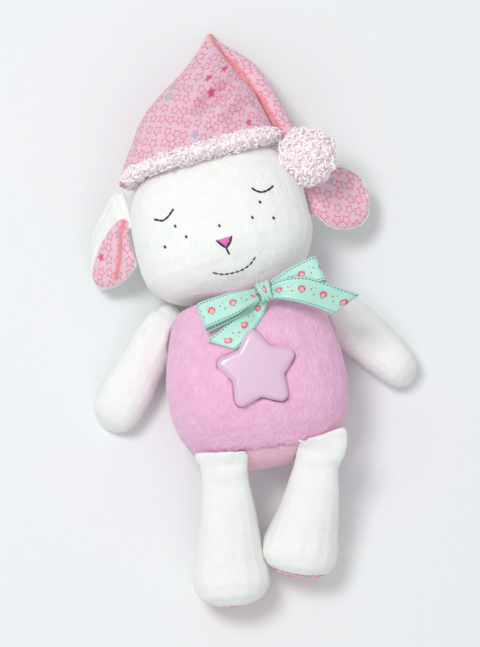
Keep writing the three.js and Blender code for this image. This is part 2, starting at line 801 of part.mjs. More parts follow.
// Torso assembly
const bodyWhole = bodyForm(0);
const bodyInside = bodyForm(-coverWall);
const seamCut = (gapSide) => block(-farSide, farSide, -farSide, -seamDrop - gapSide, -farSide, farSide);
const aboveSeam = (solid, side) => solid.subtract(seamCut(-side / 2));
const belowSeam = (solid, side) => solid.intersect(seamCut(side / 2));
const toTorso = (solid, frame) => carry(solid, frame, torsoFrame);
const window = toTorso(starPrism(windowGap, bodyHeight, starTop + overrun), starFrame);
const slit = block(-slitHalfLength, slitHalfLength, slitAlong - slitHalfWidth, slitAlong + slitHalfWidth,
  -overrun, bodyHeight / 2);
const neckClear = toTorso(neckRoom, neckFrame);
const leftSocket = toTorso(shoulderBall(seatGap), armFrame(leftArm));
const rightSocket = toTorso(shoulderBall(seatGap), armFrame(rightArm));

function bodyCover() {
  let shell = bodyWhole.subtract(bodyInside);
  shell = onFloor(shell, torsoFrame);
  shell = shell.subtract(seamCut(-seatGap / 2));
  shell = shell.subtract(neckClear).add(toTorso(neckStub, neckFrame).subtract(bodyInside));
  return shell.subtract(window).subtract(slit).subtract(leftSocket).subtract(rightSocket);
}

function bottomPanel() {
  const shell = bodyWhole.subtract(bodyInside);
  return onFloor(shell.intersect(seamCut(seatGap / 2)), torsoFrame);
}

function tapeLayer(depth, y0, y1) {
  const outer = bodyForm(-coverWall - depth);
  const inner = bodyForm(-coverWall - depth - tapeThickness);
  const span = block(-slitHalfLength, slitHalfLength, y0, y1, -overrun, bodyHeight / 2);
  return outer.subtract(inner).intersect(span);
}

function bodyStuffing() {
  const well = toTorso(disc(caseRadius + seatGap, caseBottom - seatGap, farSide), starFrame);
  const tapeRoom = block(
    -slitHalfLength - seatGap, slitHalfLength + seatGap,
    slitAlong - 2 * tapeHalfWidth, slitAlong + 2 * tapeHalfWidth,
    -overrun, bodyHeight / 2
  ).subtract(bodyForm(-coverWall - 3 * seatGap - 2 * tapeThickness));
  const ball = (arm) => toTorso(shoulderBall(2 * seatGap + coverWall), armFrame(arm));
  return bodyForm(-coverWall - seatGap).subtract(neckClear).subtract(well).subtract(tapeRoom)
    .subtract(ball(leftArm)).subtract(ball(rightArm))
    .subtract(block(-farSide, farSide, -farSide, farSide, -farSide, coverWall + seatGap - floorBite));
}

// Assemble
piece("body_cover", torsoFrame, bodyCover(), pinkPlush, 0.95);
piece("bottom_panel", torsoFrame, bottomPanel(), seatPlush, 0.95);
piece("body_stuffing", torsoFrame, bodyStuffing(), filling, 1);
piece("hook_tape", torsoFrame, tapeLayer(seatGap, slitAlong - tapeHalfWidth, slitAlong + tapeHalfWidth),
  whitePlush, 0.8);
piece("loop_tape", torsoFrame,
  tapeLayer(2 * seatGap + tapeThickness, slitAlong - tapeHalfWidth, slitAlong + tapeHalfWidth),
  whitePlush, 0.9);
piece("neckband", neckFrame, neckTurned([
  [neckRadius + seatGap, -neckGroove + seatGap], [neckRadius + seatGap + neckbandWall, -neckGroove + seatGap],
  [neckRadius + seatGap + neckbandWall, neckGroove - seatGap], [neckRadius + seatGap, neckGroove - seatGap],
]), mint, 0.4);

piece("star_lens", starFrame, starLens(), lensPink, 0.15);
piece("module_front_shell", starFrame, frontShell(), casePlastic, 0.5);
piece("module_rear_shell", starFrame, rearShell(), casePlastic, 0.5);
piece("battery_door", starFrame,
  disc(doorRadius, caseBottom, caseBottom + doorThickness)
    .subtract(disc(doorScrewShank + screwGap, caseBottom - overrun, doorFloor + overrun, smallFacets))
    .subtract(disc(doorScrewHead + screwGap, caseBottom - overrun, caseBottom + doorScrewHeadHeight + seatGap,
      smallFacets)),
  casePlastic, 0.5);
const doorScrew = {
  headRadius: doorScrewHead, headHeight: doorScrewHeadHeight,
  shankRadius: doorScrewShank, length: doorScrewLength,
};
const caseScrew = {
  headRadius: screwHead, headHeight: screwHeadHeight, shankRadius: screwShank, length: screwLength,
};
piece("door_screw", starFrame, screw(doorScrew, 0, 0), steel, 0.35, 0.9);
for (let step = 0; step < caseScrewCount; step += 1) {
  const x = bossRing * Math.cos(bossAngle(step));
  const y = bossRing * Math.sin(bossAngle(step));
  piece(`housing_screw_${step + 1}`, starFrame, screw(caseScrew, x, y),
    steel, 0.35, 0.9);
}
for (let step = 0; step < batteryCellCount; step += 1) {
  const x = batteryCellRing * Math.cos(cellAngle(step));
  const y = batteryCellRing * Math.sin(cellAngle(step));
  piece(`cell_${step + 1}`, starFrame, disc(batteryCellRadius, cellBottom, cellTop, roundFacets, x, y),
    steel, 0.3, 0.9);
}
piece("contact_plate", starFrame, turned([
  [doorScrewHead + seatGap, contactBottom], [compartmentInner - seatGap, contactBottom],
  [compartmentInner - seatGap, contactBottom + contactThickness],
  [doorScrewHead + seatGap, contactBottom + contactThickness],
]), steel, 0.35, 0.9);
piece("circuit_board", starFrame, disc(boardRadius, boardBottom, boardTop), boardGreen, 0.6);
piece("push_switch", starFrame,
  block(-switchHalfSide, switchHalfSide, -switchHalfSide, switchHalfSide, boardTop + seatGap, switchTop),
  blackPlastic, 0.5);
for (let step = 0; step < ledCount; step += 1) {
  const x = ledRing * Math.cos(ledAngle(step));
  const y = ledRing * Math.sin(ledAngle(step));
  const base = boardTop + seatGap;
  const dome = [0, 1, 2].map((part) => {
    const turn = (Math.PI * part) / 6;
    return [ledRadius * Math.cos(turn), base + ledHeight - ledRadius * (1 - Math.sin(turn))];
  });
  const profile = [[0, base], [ledRadius, base], ...dome, [0, base + ledHeight]];
  piece(`led_${step + 1}`, starFrame, turned(profile, smallFacets, x, y), lensPink, 0.2);
}
piece("return_spring", starFrame, springForm(), steel, 0.35, 0.9);

// Head assembly
const toHead = (solid, frame) => carry(solid, frame, headFrame);
const leftEarFrame = earFrame(leftEar, true);
const rightEarFrame = earFrame(rightEar, false);
const headSolid = onFloor(headForm(0), headFrame).subtract(toHead(headRoom, neckFrame))
  .subtract(toHead(earRoot(seatGap, true, leftRootOffset), leftEarFrame))
  .subtract(toHead(earRoot(seatGap, false, rightRootOffset), rightEarFrame));
const headClear = headForm(seatGap);
const capSolid = onFloor(capForm(0), headFrame).subtract(headClear).subtract(tipRoot(seatGap));
piece("head", headFrame, headSolid, whitePlush, 0.95);
piece("cap_cone", headFrame, capSolid, printPink, 0.9);
const bandForm = (grow) => stuffed({
  wide: bandHalfWidth, deep: bandHalfDepth, rise: bandHalfHeight, drop: bandHalfHeight, centre: headHeight,
  roundShares: bandRoundShares, facets: bandFacets, grow,
  shape: (x, y, z) => [x, y + bandCentre - (bandLean * z) / bandHalfDepth, headHeight + z],
});
piece("cap_band", headFrame, onFloor(bandForm(0), headFrame).subtract(headClear).subtract(capForm(seatGap)),
  paleFluff, 1);
const pompomSolid = pompomForm(0).subtract(headClear).subtract(bandForm(seatGap)).subtract(capForm(seatGap));
const tipSolid = tipForm().subtract(capForm(seatGap)).subtract(bandForm(seatGap)).subtract(headClear)
  .subtract(pompomForm(seatGap)).add(tipRoot(0));
piece("cap_tip", headFrame, tipSolid, printPink, 0.9);
piece("pompom", headFrame, pompomSolid, paleFluff, 1);

// The head as the ear meets it while it flops up: turned about the ear's root a step at a time
const flopSteps = 4;
function headPastEar(ear, frame) {
  const met = carry(headForm(seatGap), headFrame, frame);
  let swept = met;
  for (let step = 1; step <= flopSteps; step += 1) {
    const turn = new THREE.Matrix4().makeRotationY(radians((ear.flop * step) / flopSteps));
    swept = swept.add(met.transform(turn.elements));
  }
  return swept;
}

function addEar(name, ear, rows, flip, frame, offset) {
  const half = earThickness / 2;
  const headAway = headPastEar(ear, frame);
  const outer = earPlate(ear, rows, flip, 0, -half, half).subtract(headAway).add(earRoot(0, flip, offset));
  const lining = earPlate(ear, rows, flip, ear.rim, half + seatGap, half + seatGap + liningThickness)
    .subtract(headAway).subtract(earRoot(seatGap, flip, offset));
  piece(`${name}_outer`, frame, outer, whitePlush, 0.95);
  piece(`${name}_lining`, frame, lining, printPink, 0.9);
}
addEar("ear_left", leftEar, leftEarShares, true, leftEarFrame, leftRootOffset);
addEar("ear_right", rightEar, rightEarShares, false, rightEarFrame, rightRootOffset);

// Limbs
for (const [name, arm] of [["arm_left", leftArm], ["arm_right", rightArm]]) {
  const frame = armFrame(arm);
  const form = armForm(arm).subtract(carry(bodyForm(seatGap), torsoFrame, frame)).add(shoulderBall(0));
  piece(name, frame, onFloor(form, frame), whitePlush, 0.95);
}
for (const [name, leg] of [["left", leftLeg], ["right", rightLeg]]) {
  const frame = legFrame(leg);
  const form = onFloor(legForm(leg).subtract(carry(bodyForm(seatGap), torsoFrame, frame)), frame);
  piece(`leg_${name}`, frame, form.intersect(solePlane(leg, 1)), whitePlush, 0.95);
  piece(`sole_${name}`, frame, form.intersect(solePlane(leg, -1)), printPink, 0.9);
}

// Ribbon bow
const bodyAway = bodyForm(seatGap);
const knotForm = placed(new THREE.SphereGeometry(1, smallFacets, smallFacets / 2)
  .scale(knotHalfLength, knotHalfWidth, knotHalfHeight).rotateZ(radians(-torsoTilt)),
knot.across, knot.along, knotHeight);
piece("bow_knot", torsoFrame, knotForm.subtract(bodyAway), mint, 0.4);
piece("bow_loop_left", torsoFrame, loopBand(leftLoop).subtract(bodyAway), mint, 0.4);
piece("bow_loop_right", torsoFrame, loopBand(rightLoop).subtract(bodyAway), mint, 0.4);
const tailOf = (tail) => ribbonStrip(tail, tailHeight, ribbonThickness).subtract(bodyAway);
piece("bow_tail_left", torsoFrame, tailOf(leftTail), mint, 0.4);
piece("bow_tail_right", torsoFrame, tailOf(rightTail), mint, 0.4);

const doll = new THREE.Group();
const groups = new Map();
for (const { name, frame, solid, color, roughness, metalness } of parts) {
  if (!groups.has(frame)) {
    const group = new THREE.Group();
    group.applyMatrix4(frame);
    groups.set(frame, group);
    doll.add(group);
  }
  const material = new THREE.MeshStandardMaterial({ color, roughness, metalness });
  const mesh = new THREE.Mesh(geometryOf(solid), material);
  mesh.name = name;
  groups.get(frame).add(mesh);
}

export default doll;
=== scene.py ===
# %% [markdown]
# # A plush lamb doll, dressed in Blender
# The doll lies on its back on a pale cloth: a white plush head, arms and legs, a pink plush body, a printed
# cotton night cap with a curly band and pompom, a satin bow, and a star-shaped light under the belly cover.
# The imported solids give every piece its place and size. Each soft solid is replaced here by a finer mesh
# with the softness, seams and pile of real plush; the hard pieces of the light keep their own solids.

# %% Load the frame
import math

import bpy
import numpy as np
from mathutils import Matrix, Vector


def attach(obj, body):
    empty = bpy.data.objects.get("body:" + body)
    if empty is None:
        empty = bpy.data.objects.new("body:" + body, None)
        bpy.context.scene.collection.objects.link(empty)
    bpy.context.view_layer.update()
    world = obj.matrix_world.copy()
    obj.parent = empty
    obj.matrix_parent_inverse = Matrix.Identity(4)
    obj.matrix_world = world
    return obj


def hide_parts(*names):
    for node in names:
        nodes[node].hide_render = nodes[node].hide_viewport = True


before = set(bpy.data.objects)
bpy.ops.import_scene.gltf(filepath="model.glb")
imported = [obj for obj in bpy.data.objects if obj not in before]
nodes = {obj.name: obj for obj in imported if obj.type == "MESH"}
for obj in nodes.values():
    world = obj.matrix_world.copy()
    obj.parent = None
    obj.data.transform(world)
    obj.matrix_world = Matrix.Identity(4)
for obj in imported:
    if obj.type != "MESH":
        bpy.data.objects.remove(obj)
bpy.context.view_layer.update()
MM = 0.001
DOWN = Vector((0, 0, -1))
FLOOR_GAP = 0.05  # in mm, like all bare sizes below
ABOVE_ALL = 130  # height from which rays are cast down

# %% [markdown]
# ## Where things are
# The doll's torso and head each lean a little, so their pieces are easier to shape in a frame of their own.
# A frame here is a place on the floor plane and a turn; `local` gives a mesh's points in it, in millimetres,
# and `world` takes them back to metres.

# %% Frames of the doll
class Seat:
    """A place on the floor with a turn about the upright, for points in millimetres."""

    def __init__(self, x, y, turn):
        self.place = np.array([x, y, 0.0])
        angle = math.radians(turn)
        self.axes = np.array([
            [math.cos(angle), math.sin(angle), 0],
            [-math.sin(angle), math.cos(angle), 0],
            [0, 0, 1],
        ])

    def local(self, points):
        return (np.asarray(points) / MM - self.place) @ self.axes.T

    def world(self, points):
        return (np.asarray(points) @ self.axes + self.place) * MM


TORSO_TURN, HEAD_TURN = 6, 16.5
torso = Seat(0, 0, TORSO_TURN)
head_seat = Seat(-20.108, 85.925, HEAD_TURN)
arm_seats = {"left": Seat(-46.5, 37, -31), "right": Seat(40.2, 43.2, 48.5)}
leg_seats = {"left": Seat(-19.2, -37.6, 4.6), "right": Seat(33, -29.5, -9)}
print("head centre in metres:", head_seat.world([0, 0, 37.5]).round(4))

# %% [markdown]
# ## Small tools
# Soft pieces all start the same way: the CAD solid is copied, its loose triangles are merged, and a voxel
# remesh gives an even skin that can be smoothed and pushed about. The steps are kept as short functions.

# %% Tools for choosing and finishing pieces
def deselect():
    bpy.ops.object.select_all(action="DESELECT")


def choose(piece):
    deselect()
    piece.select_set(True)
    bpy.context.view_layer.objects.active = piece


def apply_all(piece):
    choose(piece)
    for modifier in list(piece.modifiers):
        bpy.ops.object.modifier_apply(modifier=modifier.name)


def new_piece(name, points, faces):
    mesh = bpy.data.meshes.new(name)
    mesh.from_pydata([tuple(point) for point in points], [], [tuple(face) for face in faces])
    piece = bpy.data.objects.new(name, mesh)
    bpy.context.scene.collection.objects.link(piece)
    return piece


def outward(piece, weld=1e-5):
    choose(piece)
    bpy.ops.object.mode_set(mode="EDIT")
    bpy.ops.mesh.select_all(action="SELECT")
    bpy.ops.mesh.remove_doubles(threshold=weld)
    bpy.ops.mesh.normals_make_consistent(inside=False)
    bpy.ops.object.mode_set(mode="OBJECT")


def joined(first, *others):
    choose(first)
    for other in others:
        other.select_set(True)
    if others:
        bpy.ops.object.join()
    return first


def lifted(name, *node_names):
    """A merged copy of CAD solids, as one new object at the origin."""
    copies = []
    for node_name in node_names:
        copy = bpy.data.objects.new(name, nodes[node_name].data.copy())
        copy.data.materials.clear()
        bpy.context.scene.collection.objects.link(copy)
        copies.append(copy)
    whole = joined(*copies)
    outward(whole)
    return whole


def points_of(piece):
    points = np.empty(len(piece.data.vertices) * 3)
    piece.data.vertices.foreach_get("co", points)
    return points.reshape(-1, 3)


def normals_of(piece):
    normals = np.empty(len(piece.data.vertices) * 3)
    piece.data.vertices.foreach_get("normal", normals)
    return normals.reshape(-1, 3)


def set_points(piece, points):
    piece.data.vertices.foreach_set("co", np.asarray(points, float).ravel())
    piece.data.update()


def reskin(piece, voxel, relax):
    """An even skin of small squares over the piece, relaxed a little so that facets go."""
    remesh = piece.modifiers.new("even skin", "REMESH")
    remesh.mode = "VOXEL"
    remesh.voxel_size = voxel * MM
    remesh.use_smooth_shade = True
    soften = piece.modifiers.new("relax", "SMOOTH")
    soften.factor = 0.5
    soften.iterations = relax
    apply_all(piece)
    return piece


def ruffle(piece, size, depth, middle=0.5):
    """Small even ups and downs, as of a brushed pile, by a Displace modifier."""
    clouds = bpy.data.textures.new(f"{piece.name} pile", "CLOUDS")
    clouds.noise_scale = size * MM
    clouds.noise_depth = 1
    displace = piece.modifiers.new("pile", "DISPLACE")
    displace.texture = clouds
    displace.texture_coords = "GLOBAL"
    displace.strength = depth * MM
    displace.mid_level = middle
    apply_all(piece)


def eased(points, rows, cell=2.0):
    """Moves the two edges of a long form: rows hold (along, left, right) in mm, shared evenly between."""
    rows = np.array(sorted(rows), float)
    across, along = points[:, 0].copy(), points[:, 1].copy()
    marks = np.arange(along.min(), along.max() + cell, cell)
    place = np.clip(np.rint((along - marks[0]) / cell).astype(int), 0, len(marks) - 1)
    low, high = np.full(len(marks), np.inf), np.full(len(marks), -np.inf)
    np.minimum.at(low, place, across)
    np.maximum.at(high, place, across)
    known = high > low
    low, high = (np.interp(along, marks[known], edge[known]) for edge in (low, high))
    share = np.clip((across - low) / np.maximum(high - low, 1e-6), 0, 1)
    left, right = (np.interp(along, rows[:, 0], rows[:, column]) for column in (1, 2))
    points[:, 0] += left * (1 - share) + right * share
    return points


def smooth_shade(piece):
    choose(piece)
    bpy.ops.object.shade_smooth()


def finish(piece, material):
    smooth_shade(piece)
    piece.data.materials.append(material)


def stand_for(piece, body, slot, *replaced):
    """Gives a finished piece its body, hides the CAD pieces it replaces, and keeps it off the floor; slot is
    not used.
    """
    points = points_of(piece)
    points[:, 2] = np.maximum(points[:, 2], FLOOR_GAP * MM)
    set_points(piece, points)
    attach(piece, body)
    if replaced:
        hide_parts(*replaced)


def bump_at(distance, width):
    """1 at no distance, falling off softly over the width."""
    return np.exp(-((distance / width) ** 2))


def between(a, b, c, d, share):
    """A place between b and c on a smooth curve through a, b, c and d; share says how far along."""
    return 0.5 * (2 * b + (c - a) * share + (2 * a - 5 * b + 4 * c - d) * share ** 2
                  + (3 * b - a - 3 * c + d) * share ** 3)


def ring_faces(rings, around, first=0, closed=False, turned=False):
    """Faces between rings of points, numbered ring by ring; closed joins the last ring to the first."""
    faces = []
    for ring in range(rings if closed else rings - 1):
        low, high = first + ring * around, first + (ring + 1) % rings * around
        for step in range(around):
            beside = (step + 1) % around
            face = [low + step, low + beside, high + beside, high + step]
            faces.append(face[:1] + face[:0:-1] if turned else face)
    return faces


def fan_faces(first, around, tip):
    return [[first + step, first + (step + 1) % around, tip] for step in range(around)]


def dropped(target, seat, u, v, lowest=0):
    """Where a ray straight down at (u, v) in the seat's mm meets the target, and the way out there."""
    hit, spot, way, _ = target.ray_cast(Vector(seat.world([u, v, ABOVE_ALL])), DOWN)
    return (spot, way) if hit and spot.z > lowest * MM else None


def unit(vector):
    return vector / np.linalg.norm(vector)


def evened(ring, times):
    """Values round a closed ring, each drawn towards its two neighbours."""
    for _ in range(times):
        ring = (np.roll(ring, 1, axis=0) + 2 * ring + np.roll(ring, -1, axis=0)) / 4
    return ring

# %% [markdown]
# ## Camera, floor and light
# The photo looks almost straight down on the doll, a little from the foot end. A long lens keeps the
# proportions; the room has one big soft lamp from the upper left, so a soft shade falls to the right of the
# doll, and a pale even sky. The floor is a plain pale cloth colour, and its finish is made with the others.

# %% Camera
view_from = Vector((-0.0094, -0.1619, 1.4214))
view_to = Vector((-0.0094, 0.0329, 0.035))
camera_data = bpy.data.cameras.new("camera")
camera_data.lens = 144.3  # fitted to the photo with the two places above
camera_data.sensor_width = 36
camera = bpy.data.objects.new("camera", camera_data)
camera.location = view_from
camera.rotation_mode = "QUATERNION"
camera.rotation_quaternion = (view_to - view_from).to_track_quat("-Z", "Y")
bpy.context.scene.collection.objects.link(camera)
bpy.context.scene.camera = camera
print("camera distance in m:", round((view_to - view_from).length, 3))

# %% Floor, lamps and sky
scene = bpy.context.scene
scene.view_settings.view_transform = "Standard"
deselect()
bpy.ops.mesh.primitive_plane_add(size=8, location=(0, 0, -0.0002))
floor = bpy.context.active_object
floor.name = "floor"
bpy.ops.object.transform_apply(location=True)


def soft_lamp(name, place, aim, size, power, colour):
    lamp_data = bpy.data.lights.new(name, "AREA")
    lamp_data.size = size
    lamp_data.energy = power
    lamp_data.color = colour
    lamp = bpy.data.objects.new(name, lamp_data)
    lamp.location = place
    lamp.rotation_mode = "QUATERNION"
    lamp.rotation_quaternion = (Vector(aim) - Vector(place)).to_track_quat("-Z", "Y")
    scene.collection.objects.link(lamp)


soft_lamp("key lamp", (-0.46, 0.36, 1.5), (0, 0.03, 0.03), 0.45, 11.2, (1, 1, 1))
soft_lamp("fill lamp", (0.2, -0.9, 1.2), (0, 0.03, 0.03), 0.9, 2.8, (1, 0.98, 0.97))
sky = bpy.data.worlds.new("sky")
sky.use_nodes = True
sky.node_tree.nodes["Background"].inputs["Color"].default_value = (0.97, 0.985, 1, 1)
sky.node_tree.nodes["Background"].inputs["Strength"].default_value = 0.52
scene.world = sky

# %% [markdown]
# ## Making materials
# Every finish here is built from nodes. A short helper adds a node and plugs its inputs, and another does
# one sum, so that a pattern reads like the formula it stands for.

# %% Node helpers
def add_node(tree, kind, links=None, **settings):
    node = tree.nodes.new(kind)
    for key, value in settings.items():
        setattr(node, key, value)
    for key, value in (links or {}).items():
        socket = node.inputs[key]
        if isinstance(value, bpy.types.NodeSocket):
            tree.links.new(value, socket)
        else:
            socket.default_value = value
    return node


def sum_node(tree, operation, first, second=0.0, third=0.0):
    links = {0: first, 1: second, 2: third}
    return add_node(tree, "ShaderNodeMath", links, operation=operation).outputs[0]


def stepped(tree, value, low, high, out_low=0.0, out_high=1.0):
    links = {"Value": value, "From Min": low, "From Max": high, "To Min": out_low, "To Max": out_high}
    return add_node(tree, "ShaderNodeMapRange", links, interpolation_type="SMOOTHSTEP").outputs["Result"]


def mixed(tree, share, first, second):
    mix = tree.nodes.new("ShaderNodeMix")
    mix.data_type = "RGBA"
    for socket, value in zip((mix.inputs[0], mix.inputs[6], mix.inputs[7]), (share, first, second)):
        if isinstance(value, bpy.types.NodeSocket):
            tree.links.new(value, socket)
        else:
            socket.default_value = value
    return mix.outputs[2]


def new_group(name, inputs, outputs):
    group = bpy.data.node_groups.new(name, "ShaderNodeTree")
    for socket_name, kind, value in inputs:
        socket = group.interface.new_socket(name=socket_name, in_out="INPUT", socket_type=kind)
        if value is not None:
            socket.default_value = value
    for socket_name, kind in outputs:
        group.interface.new_socket(name=socket_name, in_out="OUTPUT", socket_type=kind)
    return group, group.nodes.new("NodeGroupInput").outputs, group.nodes.new("NodeGroupOutput").inputs


def new_material(name):
    material = bpy.data.materials.new(name)
    material.use_nodes = True
    tree = material.node_tree
    return material, tree, tree.nodes["Principled BSDF"]


def settle(shader, values):
    for key, value in values.items():
        shader.inputs[key].default_value = value


def use_group(tree, group, links):
    return add_node(tree, "ShaderNodeGroup", links, node_tree=group).outputs


def add_bump(tree, shader, height, distance, strength):
    bump = add_node(tree, "ShaderNodeBump", {"Height": height, "Distance": distance, "Strength": strength})
    tree.links.new(bump.outputs["Normal"], shader.inputs["Normal"])


def object_place(tree):
    return add_node(tree, "ShaderNodeTexCoord").outputs["Object"]

# %% [markdown]
# ## Plush
# Short plush is a forest of fine fibres. From a step away it shows as soft mottling, with short streaks
# where the pile is brushed one way, and a pale bloom at the edges. The group below makes the mottling and
# the streaks out of two noises, one of them drawn out along the nap; sheen in the shader gives the bloom.

# %% The brushed pile, as a group
VECTOR, COLOUR, VALUE = "NodeSocketVector", "NodeSocketColor", "NodeSocketFloat"
pile_group, pile_in, pile_out = new_group(
    "brushed pile",
    [("Vector", VECTOR, None), ("Lit", COLOUR, None), ("Deep", COLOUR, None), ("Tuft", VALUE, 900.0),
     ("Nap", VECTOR, (1, 0.3, 1))],
    [("Color", COLOUR), ("Height", VALUE)],
)
nap = add_node(pile_group, "ShaderNodeMapping", {"Vector": pile_in["Vector"], "Scale": pile_in["Nap"]})
strands = add_node(pile_group, "ShaderNodeTexNoise", {
    "Vector": nap.outputs[0], "Scale": pile_in["Tuft"], "Detail": 3.0, "Roughness": 0.65,
}).outputs["Fac"]
clumps = add_node(pile_group, "ShaderNodeTexNoise", {
    "Vector": pile_in["Vector"], "Scale": 130.0, "Detail": 2.0,
}).outputs["Fac"]
fibre = stepped(pile_group, strands, 0.3, 0.68)
patch = stepped(pile_group, clumps, 0.35, 0.7)
depth = sum_node(pile_group, "MULTIPLY_ADD", patch, 0.4, sum_node(pile_group, "MULTIPLY", fibre, 0.6))
pile_group.links.new(mixed(pile_group, depth, pile_in["Deep"], pile_in["Lit"]), pile_out["Color"])
pile_group.links.new(sum_node(pile_group, "MULTIPLY_ADD", clumps, 0.5, strands), pile_out["Height"])
print("group:", pile_group.name)

# %% Plush and floor cloth
PILE_HEIGHT = 0.0009


def plush(name, lit, deep, turn, tuft=900.0, nap_scale=(1, 0.3, 1), rough=0.6):
    """turn is the piece's own, in degrees; nap_scale draws the strands out; rough is the bump's strength."""
    material, tree, shader = new_material(name)
    turned = add_node(tree, "ShaderNodeMapping", {
        "Vector": object_place(tree), "Rotation": (0, 0, math.radians(-turn)),
    })
    pile = use_group(tree, pile_group, {
        "Vector": turned.outputs[0], "Lit": (*lit, 1), "Deep": (*deep, 1), "Tuft": tuft, "Nap": nap_scale,
    })
    tree.links.new(pile["Color"], shader.inputs["Base Color"])
    settle(shader, {"Roughness": 1, "Specular IOR Level": 0.1, "Sheen Weight": 0.35, "Sheen Roughness": 0.45})
    add_bump(tree, shader, pile["Height"], PILE_HEIGHT, rough)
    return material


white_plush = plush("white plush", (0.96, 0.975, 0.945), (0.9, 0.92, 0.89), HEAD_TURN)
pink_plush = plush("pink plush", (0.96, 0.58, 0.79), (0.86, 0.46, 0.68), TORSO_TURN,
                   tuft=620.0, nap_scale=(1, 0.45, 1), rough=1.0)
seat_plush = plush("seat plush", (1.0, 0.66, 0.79), (0.95, 0.56, 0.7), TORSO_TURN, tuft=620.0, rough=0.9)

floor_cloth, tree, shader = new_material("pale floor cloth")
weave = add_node(tree, "ShaderNodeTexNoise", {"Vector": object_place(tree), "Scale": 300.0, "Detail": 2.0})
shade = mixed(tree, weave.outputs["Fac"], (0.85, 0.87, 0.88, 1), (0.875, 0.895, 0.905, 1))
tree.links.new(shade, shader.inputs["Base Color"])
settle(shader, {"Roughness": 1, "Specular IOR Level": 0.1})
floor.data.materials.append(floor_cloth)
print("plush materials:", white_plush.name, pink_plush.name, seat_plush.name)

# %% [markdown]
# ## Printed cotton
# The cap, the ear linings and the soles are a light pink cotton with small open stars, scattered loosely,
# and now and then a filled one in mint, lilac, grey or hot pink. Deep in a fold the cloth is painted a coral
# shade, which stands in for the shade and the light thrown back inside the fold; an attribute named fold says
# where. A texture of cells gives every spot a cell with a centre. Round each centre the star's edge is a
# straight line between a tip and a notch in polar terms, and the share of that edge gives both the outline
# and the filling.

# %% Scattered stars, as a group
stars_group, stars_in, stars_out = new_group(
    "scattered stars",
    [("Vector", VECTOR, None), ("Cell", VALUE, 0.14), ("Tip", VALUE, 0.4)],
    [("Outline", VALUE), ("Inside", VALUE), ("Pick", VALUE), ("Tint", VALUE)],
)
tree = stars_group
spread = add_node(tree, "ShaderNodeVectorMath", {0: stars_in["Vector"]}, operation="SCALE")
tree.links.new(stars_in["Cell"], spread.inputs["Scale"])
leaning = add_node(tree, "ShaderNodeMapping", {
    "Vector": spread.outputs[0], "Rotation": (0, 0, 0.4)}).outputs[0]
cells = add_node(tree, "ShaderNodeTexVoronoi", {"Vector": leaning, "Scale": 1.0, "Randomness": 0.3},
                 voronoi_dimensions="2D")
offset = add_node(tree, "ShaderNodeVectorMath", {0: leaning, 1: cells.outputs["Position"]},
                  operation="SUBTRACT")
away = add_node(tree, "ShaderNodeSeparateXYZ", {0: offset.outputs[0]}).outputs
chance = add_node(tree, "ShaderNodeSeparateColor", {0: cells.outputs["Color"]}).outputs
radius = sum_node(tree, "SQRT", sum_node(tree, "MULTIPLY_ADD", away["X"], away["X"],
                                          sum_node(tree, "MULTIPLY", away["Y"], away["Y"])))
angle = sum_node(tree, "MULTIPLY_ADD", chance[0], math.tau, sum_node(tree, "ARCTAN2", away["Y"], away["X"]))
sector = math.tau / 5
from_tip = sum_node(tree, "PINGPONG", angle, sector / 2)
notch_share = 0.52
across_notch = sum_node(tree, "MULTIPLY", sum_node(
    tree, "SINE", sum_node(tree, "SUBTRACT", sector / 2, from_tip)), notch_share)
along_tip = sum_node(tree, "SINE", from_tip)
edge = sum_node(tree, "DIVIDE", notch_share * math.sin(sector / 2),
                sum_node(tree, "ADD", across_notch, along_tip))
share = sum_node(tree, "DIVIDE", radius, sum_node(tree, "MULTIPLY", edge, stars_in["Tip"]))
off_line = sum_node(tree, "ABSOLUTE", sum_node(tree, "SUBTRACT", share, 0.9))
tree.links.new(stepped(tree, off_line, 0.19, 0.09), stars_out["Outline"])
tree.links.new(stepped(tree, share, 0.95, 0.85), stars_out["Inside"])
tree.links.new(chance[1], stars_out["Pick"])
tree.links.new(chance[2], stars_out["Tint"])
print("group:", stars_group.name)

# %% Printed cotton material
CELLS_PER_MM, STAR_SIZE = 0.148, 0.475
FILLED_ABOVE = 0.88
# The last colour below is a painted coral shade for the depths of folds
OUTLINE_INK, FILLED_EDGE, FOLD_SHADE_TONE = (0.88, 0.1, 0.27, 1), (0.62, 0.36, 0.46, 1), (0.86, 0.27, 0.25, 1)


